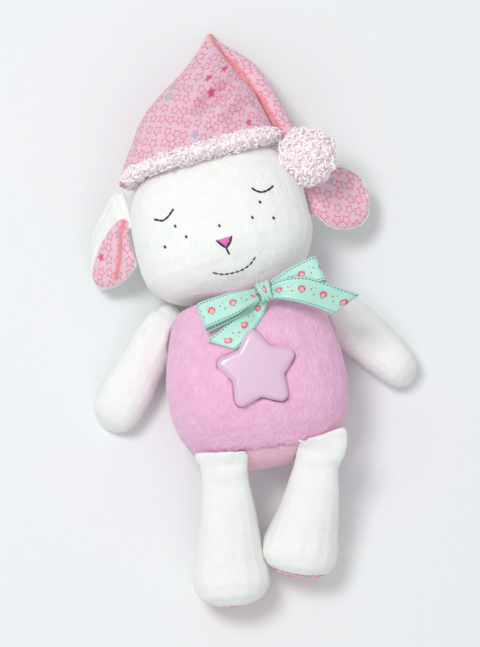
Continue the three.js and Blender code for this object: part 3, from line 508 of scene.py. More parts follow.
def printed_cotton(name, ground):
    material, tree, shader = new_material(name)
    place = add_node(tree, "ShaderNodeUVMap", uv_map="print").outputs["UV"]
    stars = use_group(tree, stars_group, {"Vector": place, "Cell": CELLS_PER_MM, "Tip": STAR_SIZE})
    tints = add_node(tree, "ShaderNodeValToRGB", {"Fac": stars["Tint"]})
    ramp = tints.color_ramp
    ramp.interpolation = "CONSTANT"
    ramp.elements[0].color = (0.93, 0.08, 0.25, 1)
    ramp.elements[1].position = 0.4
    ramp.elements[1].color = (0.42, 0.75, 0.62, 1)
    for position, colour in ((0.62, (0.6, 0.5, 0.78, 1)), (0.82, (0.55, 0.62, 0.62, 1))):
        ramp.elements.new(position).color = colour
    weave = add_node(tree, "ShaderNodeTexNoise", {
        "Vector": place, "Scale": 2.2, "Detail": 3.0}).outputs["Fac"]
    darker = [value * 0.93 for value in ground]
    cloth = mixed(tree, stepped(tree, weave, 0.3, 0.7), (*darker, 1), (*ground, 1))
    picked = stepped(tree, stars["Pick"], FILLED_ABOVE, FILLED_ABOVE + 0.01)
    filled = sum_node(tree, "MULTIPLY", stars["Inside"], picked)
    marked = mixed(tree, sum_node(tree, "MULTIPLY", filled, 0.9), cloth, tints.outputs["Color"])
    line = mixed(tree, picked, OUTLINE_INK, FILLED_EDGE)
    printed = mixed(tree, sum_node(tree, "MULTIPLY", stars["Outline"], 0.85), marked, line)
    # Painted shade: where the fold attribute is high, the print is mixed towards the coral shade colour
    fold = add_node(tree, "ShaderNodeAttribute", attribute_name="fold").outputs["Fac"]
    folded = mixed(tree, sum_node(tree, "MULTIPLY", fold, 0.8), printed, FOLD_SHADE_TONE)
    tree.links.new(folded, shader.inputs["Base Color"])
    settle(shader, {"Roughness": 0.85, "Specular IOR Level": 0.2, "Sheen Weight": 0.1})
    threads = add_node(tree, "ShaderNodeTexWave", {"Vector": place, "Scale": 1.6, "Distortion": 1.5},
                       wave_type="BANDS", bands_direction="X").outputs["Fac"]
    add_bump(tree, shader, sum_node(tree, "ADD", threads, weave), 0.00012, 0.5)
    return material


cap_print = printed_cotton("cap cotton", (0.98, 0.65, 0.76))
print("cotton:", cap_print.name)

# %% [markdown]
# ## The plush body
# A stuffed body is tight and round, and its cover is sewn from panels: the pink one ends low down at a seam,
# where a lighter pink seat panel starts. Both are copied from their solids, given an even skin, and drawn in
# a little beside the seam, as cloth is where stitches hold it.

# %% Body cover and seat panel
SEAM_ALONG = -34.5
BODY_MIDDLE, PANEL_MIDDLE = 37, 34  # heights
JUST_OFF_FLOOR = 1.5
body_cover = reskin(lifted("plush_body_cover", "body_cover"), 1.15, relax=7)
bottom_panel = reskin(lifted("plush_bottom_panel", "bottom_panel"), 1.0, relax=6)


def draw_in_at_seam(piece, meet, deep=0.9, width=2.6):
    points = torso.local(points_of(piece))
    ways = normals_of(piece) @ torso.axes.T
    near = bump_at(points[:, 1] - SEAM_ALONG, width)
    angle = np.arctan2(points[:, 2] - BODY_MIDDLE, points[:, 0])
    pucker = 1 + 0.05 * np.sin(angle * 31) + 0.04 * np.sin(angle * 53 + 1)
    outer = (ways[:, 0] * points[:, 0] + ways[:, 2] * (points[:, 2] - PANEL_MIDDLE)) > 0
    points -= ways * (deep * near * pucker * outer * (points[:, 2] > JUST_OFF_FLOOR))[:, None]
    points[:, 1] += meet * np.clip(1 - np.abs(points[:, 1] - SEAM_ALONG) / 3, 0, 1)
    set_points(piece, torso.world(points))


draw_in_at_seam(body_cover, -3.0)
draw_in_at_seam(bottom_panel, 0.7)
BODY_EDGES = [
    (50, 1.5, -3.5), (41, 1.7, -3.8), (35, 1.7, -4.0), (28, 1.6, -3.6), (22, 1.4, -3.0), (14, 0, -1.1),
    (4, -0.8, -0.3), (-6, -0.6, 0), (-16, -0.4, 0), (-25, 0, 0), (-40, 0, 0),
]
set_points(body_cover, torso.world(eased(torso.local(points_of(body_cover)), BODY_EDGES)))
points = torso.local(points_of(bottom_panel))
low = np.clip((-36 - points[:, 1]) / 10, 0, 1)
points[:, 1] += low * np.interp(points[:, 0], [-12, 5, 30], [0.6, 1.3, 3.0])
set_points(bottom_panel, torso.world(points))
ruffle(body_cover, 2.2, 0.35)
ruffle(bottom_panel, 2.2, 0.3)
for piece, material, slot, node_name in (
    (body_cover, pink_plush, "pink_plush", "body_cover"),
    (bottom_panel, seat_plush, "seat_plush", "bottom_panel"),
):
    finish(piece, material)
    stand_for(piece, "torso", slot, node_name)
    print(piece.name, len(piece.data.polygons), "faces")

# %% [markdown]
# ## The head
# The head is a soft rounded block with a slight muzzle, in white plush. The skin is remeshed finely enough
# to carry the stitched face later.

# %% Head
head = reskin(lifted("plush_head", "head"), 1.15, relax=8)
points = head_seat.local(points_of(head))
ways = normals_of(head) @ head_seat.axes.T
front = np.clip((points[:, 2] - 40) / 30, 0, 1)
under_nose = bump_at(points[:, 0] + 2, 3.5) * bump_at(points[:, 1] + 21, 5)
mouth_line = bump_at(points[:, 1] + 32.5 - 0.02 * (points[:, 0] + 1) ** 2, 2.2)
mouth_line *= bump_at(points[:, 0] + 1, 13)
points[:, 2] -= front * (0.7 * under_nose + 0.7 * mouth_line)
points = eased(points, [
    (31, 0.9, 0.6), (10, 0.9, 0.9), (-7, 0, 0), (-15, -0.3, 0), (-22, -0.4, -1.3), (-28, 0.9, -1.5),
    (-38, 1.4, -1.2),
])
chin = 3.9 * bump_at(points[:, 0] - 7, 20) + 1.9 * bump_at(points[:, 0] + 9, 13)
points[:, 1] -= chin * np.clip((-26 - points[:, 1]) / 9, 0, 1)
set_points(head, head_seat.world(points))
ruffle(head, 2.0, 0.3)
finish(head, white_plush)
stand_for(head, "head", "white_plush", "head")
print("head faces:", len(head.data.polygons))

# %% [markdown]
# ## Arms and legs
# The limbs are simple stuffed tubes. The arms are slim at the shoulder and round at the paw; the legs are
# flat and wide where they are sewn on, and swell towards a broad foot. Where a stuffed tube meets a flat
# seam, its cloth folds into short creases that run away from the seam. Those are added by code.

# %% Arms
ARM_EDGES = {
    "left": [(5, -3.0, 0), (-3, -3.0, 0), (-10, -2.5, -1.2), (-25, -2.4, -1.5), (-42, -2.6, -0.2),
             (-57, -2.2, 0), (-72, -1.5, 0)],
    "right": [(2, -1.5, 2.5), (-11, -0.9, 3.0), (-22, 0, 3.0), (-33, 1.4, 1.8), (-44, 2.6, 0.2),
              (-54, 2.6, -0.5), (-62, 2, -0.3)],
}
ARM_STRETCH = {"left": 1.0, "right": 0.925}
SHOULDER_REACH = {"left": 0.6, "right": 1.0}
arms = {}
for side, seat in arm_seats.items():
    arm = reskin(lifted(f"plush_arm_{side}", f"arm_{side}"), 1.0, relax=6)
    points = seat.local(points_of(arm))
    ways = normals_of(arm) @ seat.axes.T
    crease = bump_at(points[:, 1] + 14, 7) * np.sin(points[:, 0] * 0.75 + 0.12 * points[:, 1])
    crease += 0.6 * bump_at(points[:, 1] + 30, 9) * np.sin(points[:, 0] * 0.3 + points[:, 1] * 0.35)
    points += ways * (0.4 * crease * (points[:, 2] > 2))[:, None]
    points[:, 1] *= ARM_STRETCH[side]
    points[:, 1] += SHOULDER_REACH[side] * np.clip((points[:, 1] + 12) / 12, 0, 1)
    set_points(arm, seat.world(eased(points, ARM_EDGES[side])))
    ruffle(arm, 2.0, 0.3)
    arms[side] = arm

# %% Legs and soles
LEG_EDGES = {
    "left": [(4, -1.6, 1.6), (0, -2.2, 2.0), (-4.3, -2.4, 2.2), (-7, -0.8, 1.6), (-10, -0.2, 1.2),
             (-22, 0.3, 1.6), (-34, 0.5, 1.4), (-50, -0.3, 0.2), (-58, -1.1, 0.2), (-64, -1.9, 1.6),
             (-71, -2.3, 2.2), (-77, -2.2, 1.2), (-83, 0, 0)],
    "right": [(9, -4, -1.5), (6, -5, -0.8), (1, -5.5, 1.6), (-3.5, -5.2, 3.2), (-7, -2.8, 3.0),
              (-12.7, 0.2, 1.3), (-15.3, 0.5, 0.5), (-28, 0.9, 1.1), (-40, 0.4, 0.7), (-50, -1.2, 0.2),
              (-60, -3.2, 0.7), (-66, -4.0, 1.2), (-72, -1.5, 0.5)],
}
# Each hip seam's inner and outer end, as (across, along) in its leg's own millimetres
HIP_SEAMS = {"left": ((-12, -0.3), (11, -1.6)), "right": ((-8.5, -4), (11, 5.6))}
SEAM_DEPTH = 9


def straight_seam(points, low, high):
    """Draws the leg's end out to one straight seam between two places (across, along)."""
    stops = np.arange(low[0], high[0] + 0.1, 1.5)
    tops = [points[np.abs(points[:, 0] - stop) < 1.2, 1].max() for stop in stops]
    top = np.interp(points[:, 0], stops, tops)
    wanted = np.interp(points[:, 0], [low[0], high[0]], [low[1], high[1]])
    share = np.clip((points[:, 1] + SEAM_DEPTH) / np.maximum(top + SEAM_DEPTH, 4), 0, 1)
    points[:, 1] += np.clip(wanted - top, -4, 4) * share
    return points


def leg_cut(side, points):
    """The hip seam is wider than the tube below it; it lies on the body, so its inner end lies highest."""
    points = eased(straight_seam(points, *HIP_SEAMS[side]), LEG_EDGES[side])
    points = straight_seam(points, *HIP_SEAMS[side])
    across, along = points[:, 0], points[:, 1]
    if side == "left":
        lift = 1.8 + 2.4 * np.clip((across + 2) / 12, 0, 1)
    else:
        lift = 1.8 + np.clip(-0.85 * (across + 1), 0, 8)
    points[:, 2] += lift * np.clip((along + 8) / 7, 0, 1) + 0.75 * np.clip(along, 0, 6)
    return points


legs = {}
soles = {}
for side, seat in leg_seats.items():
    leg = reskin(lifted(f"plush_leg_{side}", f"leg_{side}"), 1.1, relax=5)
    points = seat.local(points_of(leg))
    ways = normals_of(leg) @ seat.axes.T
    top = ways[:, 2] > -0.2
    gathers = np.sin(points[:, 0] * 0.62 + 0.8 * np.sin(points[:, 0] * 0.21))
    crease = 0.5 * bump_at(points[:, 1] + 4, 5) * gathers
    crease += 0.9 * bump_at(points[:, 1] + 13 - 0.2 * points[:, 0], 3.2) * bump_at(points[:, 0] - 5, 9)
    crease -= 0.9 * bump_at(points[:, 1] + 20 + 0.25 * points[:, 0], 4.2) * bump_at(points[:, 0] + 4, 10)
    points += ways * (0.8 * crease * top * (points[:, 2] > 2))[:, None]
    points = leg_cut(side, points)
    set_points(leg, seat.world(points))
    ruffle(leg, 2.0, 0.3)
    legs[side] = leg
    soles[side] = reskin(lifted(f"printed_sole_{side}", f"sole_{side}"), 0.9, relax=3)
    points = eased(seat.local(points_of(soles[side])), LEG_EDGES[side])
    set_points(soles[side], seat.world(points))

for side in ("left", "right"):
    for piece, body, slot, material, node_name in (
        (arms[side], f"arm_{side}", "white_plush", white_plush, f"arm_{side}"),
        (legs[side], f"leg_{side}", "white_plush", white_plush, f"leg_{side}"),
        (soles[side], f"leg_{side}", "star_print", cap_print, f"sole_{side}"),
    ):
        finish(piece, material)
        stand_for(piece, body, slot, node_name)
        print(piece.name, len(piece.data.polygons), "faces")

# %% [markdown]
# ## A flat print on a curved piece
# A printed pattern should lie on the cloth undistorted, so printed pieces get a UV map in millimetres of
# cloth: one axis runs along the piece and the other round it. It is written per face corner, and each face
# keeps its own corners together, so no star is torn where the turn starts again.

# %% Wrap a print round a piece, or lay it flat
def corners_of(piece):
    """The point that each face corner stands on."""
    corners = np.empty(len(piece.data.loops), int)
    piece.data.loops.foreach_get("vertex_index", corners)
    return corners


def set_print(piece, corner_places):
    layer = piece.data.uv_layers.new(name="print")
    layer.data.foreach_set("uv", np.asarray(corner_places, float).ravel())


def wrap_print(piece, seat, centre_of):
    """centre_of gives, for each y in mm, the centre x, the centre z and the mean radius."""
    mesh = piece.data
    points = seat.local(points_of(piece))
    corners = corners_of(piece)
    across, up, radius = centre_of(points[:, 1])
    angle = np.arctan2(points[:, 0] - across, points[:, 2] - up)
    starts = np.empty(len(mesh.polygons), int)
    counts = np.empty(len(mesh.polygons), int)
    mesh.polygons.foreach_get("loop_start", starts)
    mesh.polygons.foreach_get("loop_total", counts)
    first = np.repeat(corners[starts], counts)
    turns = angle[corners]
    apart = turns - angle[first]
    turns = np.where(apart > math.pi, turns - math.tau, np.where(apart < -math.pi, turns + math.tau, turns))
    set_print(piece, np.stack([turns * radius[corners], points[corners, 1]], axis=1))


def lay_print(piece, seat, tilt):
    """A print seen flat: the cloth's own plane, turned about Y by tilt degrees."""
    points = seat.local(points_of(piece))
    corners = corners_of(piece)
    lean = math.radians(tilt)
    flat = points[:, 0] * math.cos(lean) + points[:, 2] * math.sin(lean)
    set_print(piece, np.stack([flat[corners], points[corners, 1]], axis=1))


for side, seat in leg_seats.items():
    points = seat.local(points_of(soles[side]))
    set_print(soles[side], points[corners_of(soles[side])][:, [0, 2]])
print("sole prints laid")

# %% [markdown]
# ## The night cap
# The cap is one tall cone of printed cotton that sits on the head. It is hardly stuffed, so it falls into
# soft folds: a broad hollow runs from the front down to the right, and small pulls start at the band.

# %% Cap cone
CAP_SPAN = (36, 112)
CAP_HALF_WIDTH, CAP_HALF_DEPTH = 45, 36
cap_rows = np.array([
    [0, -0.01, 1, 0.98], [0.13, 0.03, 0.93, 0.93], [0.27, 0.09, 0.84, 0.84], [0.4, 0.16, 0.74, 0.74],
    [0.52, 0.22, 0.6, 0.64], [0.61, 0.31, 0.46, 0.54], [0.69, 0.38, 0.34, 0.46], [0.79, 0.45, 0.24, 0.4],
    [0.89, 0.53, 0.14, 0.34], [1, 0.59, 0.04, 0.24],
])


def cap_centre(along):
    share = np.clip((along - CAP_SPAN[0]) / (CAP_SPAN[1] - CAP_SPAN[0]), 0, 1)
    shift, wide, deep = (np.interp(share, cap_rows[:, 0], cap_rows[:, column]) for column in (1, 2, 3))
    return CAP_HALF_WIDTH * shift, CAP_HALF_DEPTH * deep, CAP_HALF_WIDTH * wide


def cap_point(low=92.0, rings=9, sides=40):
    """The cap's upper end as a closed form of its own, from the same rows."""
    points = []
    for along in np.linspace(low, CAP_SPAN[1] - 0.4, rings):
        across, deep, wide = (float(value) for value in cap_centre(np.array(along)))
        for turn in np.arange(sides) * math.tau / sides:
            high = deep - 0.5 + deep * math.sin(turn)
            points.append([across + wide * math.cos(turn), along, max(high, 0.3)])
    points += [[CAP_HALF_WIDTH * 0.595, CAP_SPAN[1] + 0.6, 7.5]]
    faces = [list(range(sides))] + ring_faces(rings, sides)
    faces += fan_faces((rings - 1) * sides, sides, len(points) - 1)
    upper = new_piece("cap_point", head_seat.world(points), faces)
    outward(upper)
    return upper


def fold(points, start, end, width, deep):
    """A soft hollow along a line on the cap, between two places (u, v) in head millimetres."""
    start, end = np.array(start, float), np.array(end, float)
    way = end - start
    share = np.clip(((points[:, :2] - start) @ way) / (way @ way), 0, 1)
    nearest = start + share[:, None] * way
    distance = np.linalg.norm(points[:, :2] - nearest, axis=1)
    ends = np.sin(np.pi * np.clip(share, 0.04, 0.96)) ** 0.7
    return -deep * bump_at(distance, width) * ends


def thinned_point(points):
    """Towards its point the cap is only two layers of cloth, so it gets flatter there."""
    points[:, 2] *= np.interp(points[:, 1], [88, 112], [1, 0.45])
    return points


cap_cone = reskin(joined(lifted("cotton_cap_cone", "cap_cone"), cap_point()), 1.0, relax=9)
wrap_print(cap_cone, head_seat, cap_centre)
points = thinned_point(head_seat.local(points_of(cap_cone)))
front = np.clip((points[:, 2] - 18) / 22, 0, 1)
shift = (
    fold(points, (38, 78), (0, 59), 4.2, 11.0) + fold(points, (41, 61), (14, 46), 4.2, 5.5)
    - 0.7 * fold(points, (38, 69), (6, 53), 4.2, 5.5) + fold(points, (-30, 44), (-22, 60), 3.5, 1.2)
    + fold(points, (-10, 43), (-6, 58), 3.5, 1.0) + fold(points, (10, 42), (13, 52), 3, 1.0)
)
points[:, 2] += shift * front
points = eased(points, [
    (104, 0, 0), (97, -0.3, 0), (92, -1.3, 0), (88, -2.5, 0), (83, -3.3, 0), (79, -3.3, 0), (73, -2.3, 0),
    (68, -2.3, 0), (58, -1.0, 0), (47, -1.4, 0), (36, -2, 0),
])
set_points(cap_cone, head_seat.world(points))
finish(cap_cone, cap_print)
stand_for(cap_cone, "head", "star_print", "cap_cone")

# The strip of folded-over cap starts at the cap's point, so its round root is drawn out to that point
cap_tip = reskin(lifted("cotton_cap_tip", "cap_tip"), 0.7, relax=4)
points = head_seat.local(points_of(cap_tip))
near_point = np.clip((points[:, 1] - 98) / 10, 0, 1)[:, None]
aim = np.array([27.0, 0, 8.5])
drawn = aim + (points - aim) * [0.3, 1, 0.3]
points = points * (1 - near_point) + drawn * near_point
points[:, 1] += 3.2 * near_point[:, 0]
points = eased(points, [
    (110, 0, 0), (104, 0, 0), (98, -0.5, -2.2), (90, -1.2, -2.0), (83, -1.4, -2.2), (75, -1.0, -1.7),
    (67, -0.5, -1.5), (57, 0, -1.1), (46, 0, -1.2), (36, 0, -1),
])
set_points(cap_tip, head_seat.world(thinned_point(points)))
lay_print(cap_tip, head_seat, tilt=-30)
finish(cap_tip, cap_print)
FOLD_LINE = [
    (26.6, 111.0), (27.2, 104.0), (29.7, 96.0), (34.1, 86.9), (36.8, 79.5), (39.4, 69.1), (42.1, 58.7),
    (44.2, 49.7), (46.0, 40.0),
]


def mark_painted_fold_shade(piece, seat, line, width):
    """An attribute that is 1 along a line in the seat's own millimetres and falls off beside it; where it is
    high the cotton is painted with a coral fold shade.
    """
    points = seat.local(points_of(piece))[:, :2]
    line = np.array(line, float)
    nearest = np.full(len(points), 1e9)
    for start, end in zip(line[:-1], line[1:]):
        way = end - start
        along = np.clip(((points - start) @ way) / (way @ way), 0, 1)
        nearest = np.minimum(nearest, np.linalg.norm(points - start - along[:, None] * way, axis=1))
    attribute = piece.data.attributes.new("fold", "FLOAT", "POINT")
    attribute.data.foreach_set("value", bump_at(nearest, width))


# Painted coral shade along the fold between the cone and the folded-over strip
mark_painted_fold_shade(cap_cone, head_seat, FOLD_LINE, 1.5)
mark_painted_fold_shade(cap_tip, head_seat, FOLD_LINE, 1.3)
stand_for(cap_tip, "cap_tip", "star_print", "cap_tip")
print("cap faces:", len(cap_cone.data.polygons), len(cap_tip.data.polygons))

# %% [markdown]
# ## Curly trim
# The band and the pompom are a long-looped yarn: hundreds of small shiny curls that stand off the cloth. One
# curl is modelled as a short bent thread, and copies of it, each turned and sized a little differently from a
# seeded list, are set over the whole surface. Under them a lumpy base closes the gaps.

# %% One curl of yarn
def curl_shape(steps=7, sides=4, loop=1.15, thick=0.5):
    """A thread bent into an open loop that leans out, in mm, with its foot at the origin and Z outward."""
    centre = []
    for step in range(steps + 1):
        angle = -0.35 * math.pi + 1.45 * math.pi * step / steps
        centre.append([loop * math.sin(angle) + loop * 0.6, 0.35 * loop * math.sin(angle * 1.5),
                       loop * (1.05 - math.cos(angle))])
    centre = np.array(centre)
    points = []
    for step, spot in enumerate(centre):
        way = unit(centre[min(step + 1, steps)] - centre[max(step - 1, 0)])
        side = unit(np.cross(way, [0, 1, 0.2]))
        other = np.cross(way, side)
        size = thick * (0.65 if step in (0, steps) else 1)
        for corner in range(sides):
            turn = math.tau * corner / sides
            points.append(spot + size * (math.cos(turn) * side + math.sin(turn) * other))
    faces = ring_faces(steps + 1, sides)
    faces.append(list(range(sides))[::-1])
    faces.append([steps * sides + corner for corner in range(sides)])
    return np.array(points), faces


curl_points, curl_faces = curl_shape()
print("one curl has", len(curl_faces), "faces")

# %% Set curls over a surface
def spots_on(piece, count, seed, keep):
    """Evenly shared random spots on the surface, with the way out at each."""
    rng = np.random.default_rng(seed)
    mesh = piece.data
    areas = np.empty(len(mesh.polygons))
    centres = np.empty(len(mesh.polygons) * 3)
    ways = np.empty(len(mesh.polygons) * 3)
    mesh.polygons.foreach_get("area", areas)
    mesh.polygons.foreach_get("center", centres)
    mesh.polygons.foreach_get("normal", ways)
    centres, ways = centres.reshape(-1, 3), ways.reshape(-1, 3)
    chance = areas if keep is None else areas * keep(centres, ways)
    picked = rng.choice(len(areas), count, replace=count > len(areas), p=chance / chance.sum())
    return centres[picked], ways[picked], rng


def set_curls(piece, count, seed, size, keep, sink=1.15):
    spots, ways, rng = spots_on(piece, count, seed, keep)
    all_points, all_faces = [], []
    for number, (spot, way) in enumerate(zip(spots, ways)):
        lean = unit(way + rng.normal(0, 0.45, 3))
        side = unit(np.cross(lean, rng.normal(0, 1, 3)))
        other = np.cross(lean, side)
        scale = MM * size * rng.uniform(0.7, 1.35)
        base = number * len(curl_points)
        turned = curl_points[:, :1] * side + curl_points[:, 1:2] * other + curl_points[:, 2:] * lean
        turned *= scale
        all_points.append(turned + spot - way * sink * MM)
        all_faces.extend([[base + corner for corner in face] for face in curl_faces])
    return new_piece(f"{piece.name}_curls", np.concatenate(all_points), all_faces)


BAND_FOOT, HEAD_MIDDLE = 38, 37


def curly(name, node_name, voxel, lump, count, seed, size=1.0, keep=None):
    base = reskin(lifted(name, node_name), voxel, relax=3)
    if node_name == "cap_band":
        points = head_seat.local(points_of(base))
        flat = np.interp(points[:, 0], [-46, -34, 0, 40], [0.62, 0.76, 0.84, 1])
        points[:, 1] = BAND_FOOT + (points[:, 1] - BAND_FOOT) * flat
        points[:, 0] += 0.45 * np.clip(-41 - points[:, 0], 0, 9)
        set_points(base, head_seat.world(points))
    ruffle(base, 3.2, lump, middle=0.6)
    joined(base, set_curls(base, count, seed, size, keep))
    smooth_shade(base)
    return base


def off_head(centres, ways):
    """No curls on the side of the band that is pressed against the head or the floor."""
    points = head_seat.local(centres)
    outward_way = np.stack([points[:, 0], np.zeros(len(points)), points[:, 2] - HEAD_MIDDLE], axis=1)
    outward_way /= np.linalg.norm(outward_way, axis=1)[:, None]
    facing = (ways @ head_seat.axes.T * outward_way).sum(axis=1)
    return np.where((facing > -0.15) & (points[:, 2] > JUST_OFF_FLOOR), 1.0, 0.0) + 1e-9


cap_band = curly("curly_cap_band", "cap_band", 1.1, 1.6, 2300, 11, keep=off_head)
pompom = curly("curly_pompom", "pompom", 1.0, 2.2, 900, 23, size=1.25)
print("curly faces:", len(cap_band.data.polygons), len(pompom.data.polygons))

# %% [markdown]
# ## The yarn's finish
# The yarn is a pale pink with a silky shine. A noise shifts single curls between white and pink. The yarn
# also glows faintly though it is no lamp: painted light that keeps the gaps between the curls from going grey,
# standing in for the light that passes through yarn.

# %% Yarn material
yarn, tree, shader = new_material("curly yarn")
shades = add_node(tree, "ShaderNodeTexNoise", {"Vector": object_place(tree), "Scale": 420.0, "Detail": 1.0})
tone = mixed(tree, stepped(tree, shades.outputs["Fac"], 0.38, 0.6), (1.0, 0.84, 0.89, 1), (1.0, 0.97, 0.98, 1))
tree.links.new(tone, shader.inputs["Base Color"])
# The emission below is painted light: a faint pink glow standing in for light scattered through the yarn
settle(shader, {
    "Roughness": 0.6, "Sheen Weight": 0.5, "Emission Color": (1.0, 0.84, 0.89, 1),
    "Emission Strength": 0.06,
})
for piece, body, node_name in ((cap_band, "head", "cap_band"), (pompom, "cap_tip", "pompom")):
    piece.data.materials.append(yarn)
    stand_for(piece, body, "fluffy_trim", node_name)
print("yarn on", cap_band.name, pompom.name)

# %% [markdown]
# ## The ears
# Each ear is a white plush plate with a cotton lining sewn inside its edge. The left one hangs beside the
# head and is folded lengthwise, the right one lies open to the front. A lining is drawn flat, as an outline
# in head millimetres, and laid on the plush by casting rays from above, so that its edge stays clean.

# %% Ears and linings
def smooth_ring(knots, count):
    """A closed smooth outline through the knots."""
    knots = np.array(knots, float)
    out = []
    for share in np.linspace(0, len(knots), count, endpoint=False):
        step = int(share)
        around = (knots[(step + shift) % len(knots)] for shift in (-1, 0, 1, 2))
        out.append(between(*around, share - step))
    return np.array(out)


LINING_LOWEST = 3


def laid_patch(name, target, seat, knots, lean, proud=0.45, around=96, rings=22):
    """A thin lining on the target, inside a drawn outline; lean stretches its print to true length."""
    rim = smooth_ring(knots, around)
    centre = rim.mean(axis=0)
    for step, spot in enumerate(rim):
        share = 0.2
        while share < 1 and dropped(target, seat, *(centre + (spot - centre) * (share + 0.03)), LINING_LOWEST):
            share += 0.01
        rim[step] = centre + (spot - centre) * share
    points, flat = [], []
    for ring in range(rings + 1):
        share = ring / rings
        for spot in (centre + (rim - centre) * share if ring else [centre]):
            place, way = dropped(target, seat, *spot, LINING_LOWEST)
            points.append(place + way * proud * (1 - 0.7 * share ** 8) * MM)
            flat.append([spot[0] / math.cos(math.radians(lean)), spot[1]])
    faces = [[0, 1 + (step + 1) % around, 1 + step] for step in range(around)]
    faces += ring_faces(rings, around, first=1)
    piece = new_piece(name, points, faces)
    set_print(piece, np.array(flat)[[corner for face in faces for corner in face]])
    outward(piece, weld=1e-7)
    if np.mean([polygon.normal.z for polygon in piece.data.polygons]) < 0:
        piece.data.flip_normals()
    relax = piece.modifiers.new("relax", "SMOOTH")
    relax.iterations = 3
    body = piece.modifiers.new("cloth", "SOLIDIFY")
    body.thickness = 0.5 * MM
    body.offset = -1
    apply_all(piece)
    smooth_shade(piece)
    return piece


EAR_FOLD = [(-49.3, 17.7), (-53.8, 8.8), (-57.5, -1.7), (-62.1, -9.2)]
LINING_LEFT = [
    (-47.6, 17.6), (-53.4, 18.2), (-60.6, 14.3), (-67.5, 8.1), (-72.4, 0.9), (-74.3, -5.3), (-71.9, -10.8),
    (-66.0, -12.6), (-57.0, -11.9), (-50.0, -7.4), (-47.0, -1.4), (-46.0, 8.0),
]
LINING_RIGHT = [
    (49.2, 8.6), (49.0, 1.0), (49.2, -9.5), (52.4, -15.5), (61.2, -19.9), (69.3, -20.5), (78.0, -17.5),
    (83.6, -10.4), (83.9, -1.4), (80.9, 7.4), (75.0, 13.4), (69.0, 15.2), (60.0, 17.0), (51.0, 15.0),
]
ears = {}
for side in ("left", "right"):
    ear = reskin(lifted(f"plush_ear_{side}", f"ear_{side}_outer", f"ear_{side}_lining"), 0.8, relax=6)
    points = head_seat.local(points_of(ear))
    print(ear.name, "spans", points.min(axis=0).round(1), points.max(axis=0).round(1))
    if side == "left":
        line = np.array(EAR_FOLD)
        across = np.interp(points[:, 1], line[::-1, 1], line[::-1, 0])
        points[:, 2] -= 1.8 * bump_at(points[:, 0] - across, 2.6) * np.clip((19 - points[:, 1]) / 4, 0, 1)
        inner, upper = np.clip((points[:, 0] + 58) / 11, 0, 1), np.clip((points[:, 1] - 17) / 10, 0, 1)
        points[:, 1] += 4.6 * inner * upper
        points = eased(points, [
            (34, -2.0, 0), (27, -2.4, 0), (20, -1.4, 0), (12, 0.2, 0), (4, 0.6, 0), (-6, 0, 0),
        ])
    else:
        points[:, 1] = 2.6 + points[:, 1] * 1.05
    set_points(ear, head_seat.world(points))
    ruffle(ear, 1.8, 0.2)
    finish(ear, white_plush)
    stand_for(ear, f"ear_{side}", "white_plush", f"ear_{side}_outer")
    ears[side] = ear
lining_left = laid_patch("cotton_ear_lining_left", ears["left"], head_seat, LINING_LEFT, 44)
lining_right = laid_patch("cotton_ear_lining_right", ears["right"], head_seat, LINING_RIGHT, 26)
# Painted coral shade along the crease of the left lining
mark_painted_fold_shade(lining_left, head_seat, EAR_FOLD, 1.5)
for side, lining in (("left", lining_left), ("right", lining_right)):
    lining.data.materials.append(cap_print)
    stand_for(lining, f"ear_{side}", "star_print", f"ear_{side}_lining")
    print(lining.name, len(lining.data.polygons), "faces")

# %% [markdown]
# ## The stitched face
# The face is embroidered: closed eyes, a smile and small freckles in black thread, and a pink satin-stitched
# nose. Every stitch lies on the plush, so its path is drawn flat in head millimetres and dropped onto the
# head by casting rays from above. A short stitch is one thin closed tube whose ends sink into the pile.

# %% Drop a drawing onto the head
def on_head(u, v):
    found = dropped(head, head_seat, u, v)
    if not found:
        raise ValueError(f"nothing under {u}, {v}")
    return found


def smooth_path(knots, count):
    """A smooth open run of points through the knots."""
    knots = np.array(knots, float)
    padded = np.vstack([2 * knots[0] - knots[1], knots, 2 * knots[-1] - knots[-2]])
    out = []
    for share in np.linspace(0, len(knots) - 1, count):
        step = min(int(share), len(knots) - 2)
        out.append(between(*padded[step:step + 4], share - step))
    return np.array(out)


def thread(path, thick, proud, sides=8):
    """Points and faces of one stitch: a tube along the path on the head, thinner at both ends."""
    places = [on_head(u, v) for u, v in path]
    points = []
    last = len(path) - 1
    for step, (spot, way) in enumerate(places):
        along = places[min(step + 1, last)][0] - places[max(step - 1, 0)][0]
        along.normalize()
        side = along.cross(way).normalized()
        end = math.sin(math.pi * (step + 0.5) / (last + 1)) ** 0.35
        size = thick * end * MM
        middle = spot + way * (proud * end - 0.1) * MM
        for corner in range(sides):
            turn = math.tau * corner / sides
            points.append(middle + side * math.cos(turn) * size + way * math.sin(turn) * size * 0.8)
    faces = ring_faces(len(path), sides, turned=True)
    faces.append(list(range(sides)))
    faces.append([last * sides + corner for corner in range(sides)][::-1])
    return points, faces


def stitched(name, paths, thick, proud=0.25):
    """One piece made of several stitches, one along each path."""
    all_points, all_faces = [], []
    for path in paths:
        points, faces = thread(path, thick, proud)
        base = len(all_points)
        all_points.extend(points)
        all_faces.extend([[base + corner for corner in face] for face in faces])
    piece = new_piece(name, all_points, all_faces)
    outward(piece, weld=1e-7)
    smooth_shade(piece)
    return piece


def dashes(knots, lengths, gap, count=60):
    """The path cut into stitches of the given lengths, a gap apart, in mm."""
    path = smooth_path(knots, count)
    walked = np.concatenate([[0], np.cumsum(np.linalg.norm(np.diff(path, axis=0), axis=1))])
    pieces, start = [], 0.0
    for length in lengths:
        if start >= walked[-1]:
            break
        spots = np.linspace(start, min(start + length, walked[-1]), 6)
        pieces.append(np.stack([np.interp(spots, walked, path[:, axis]) for axis in (0, 1)], axis=1))
        start += length + gap
    return pieces

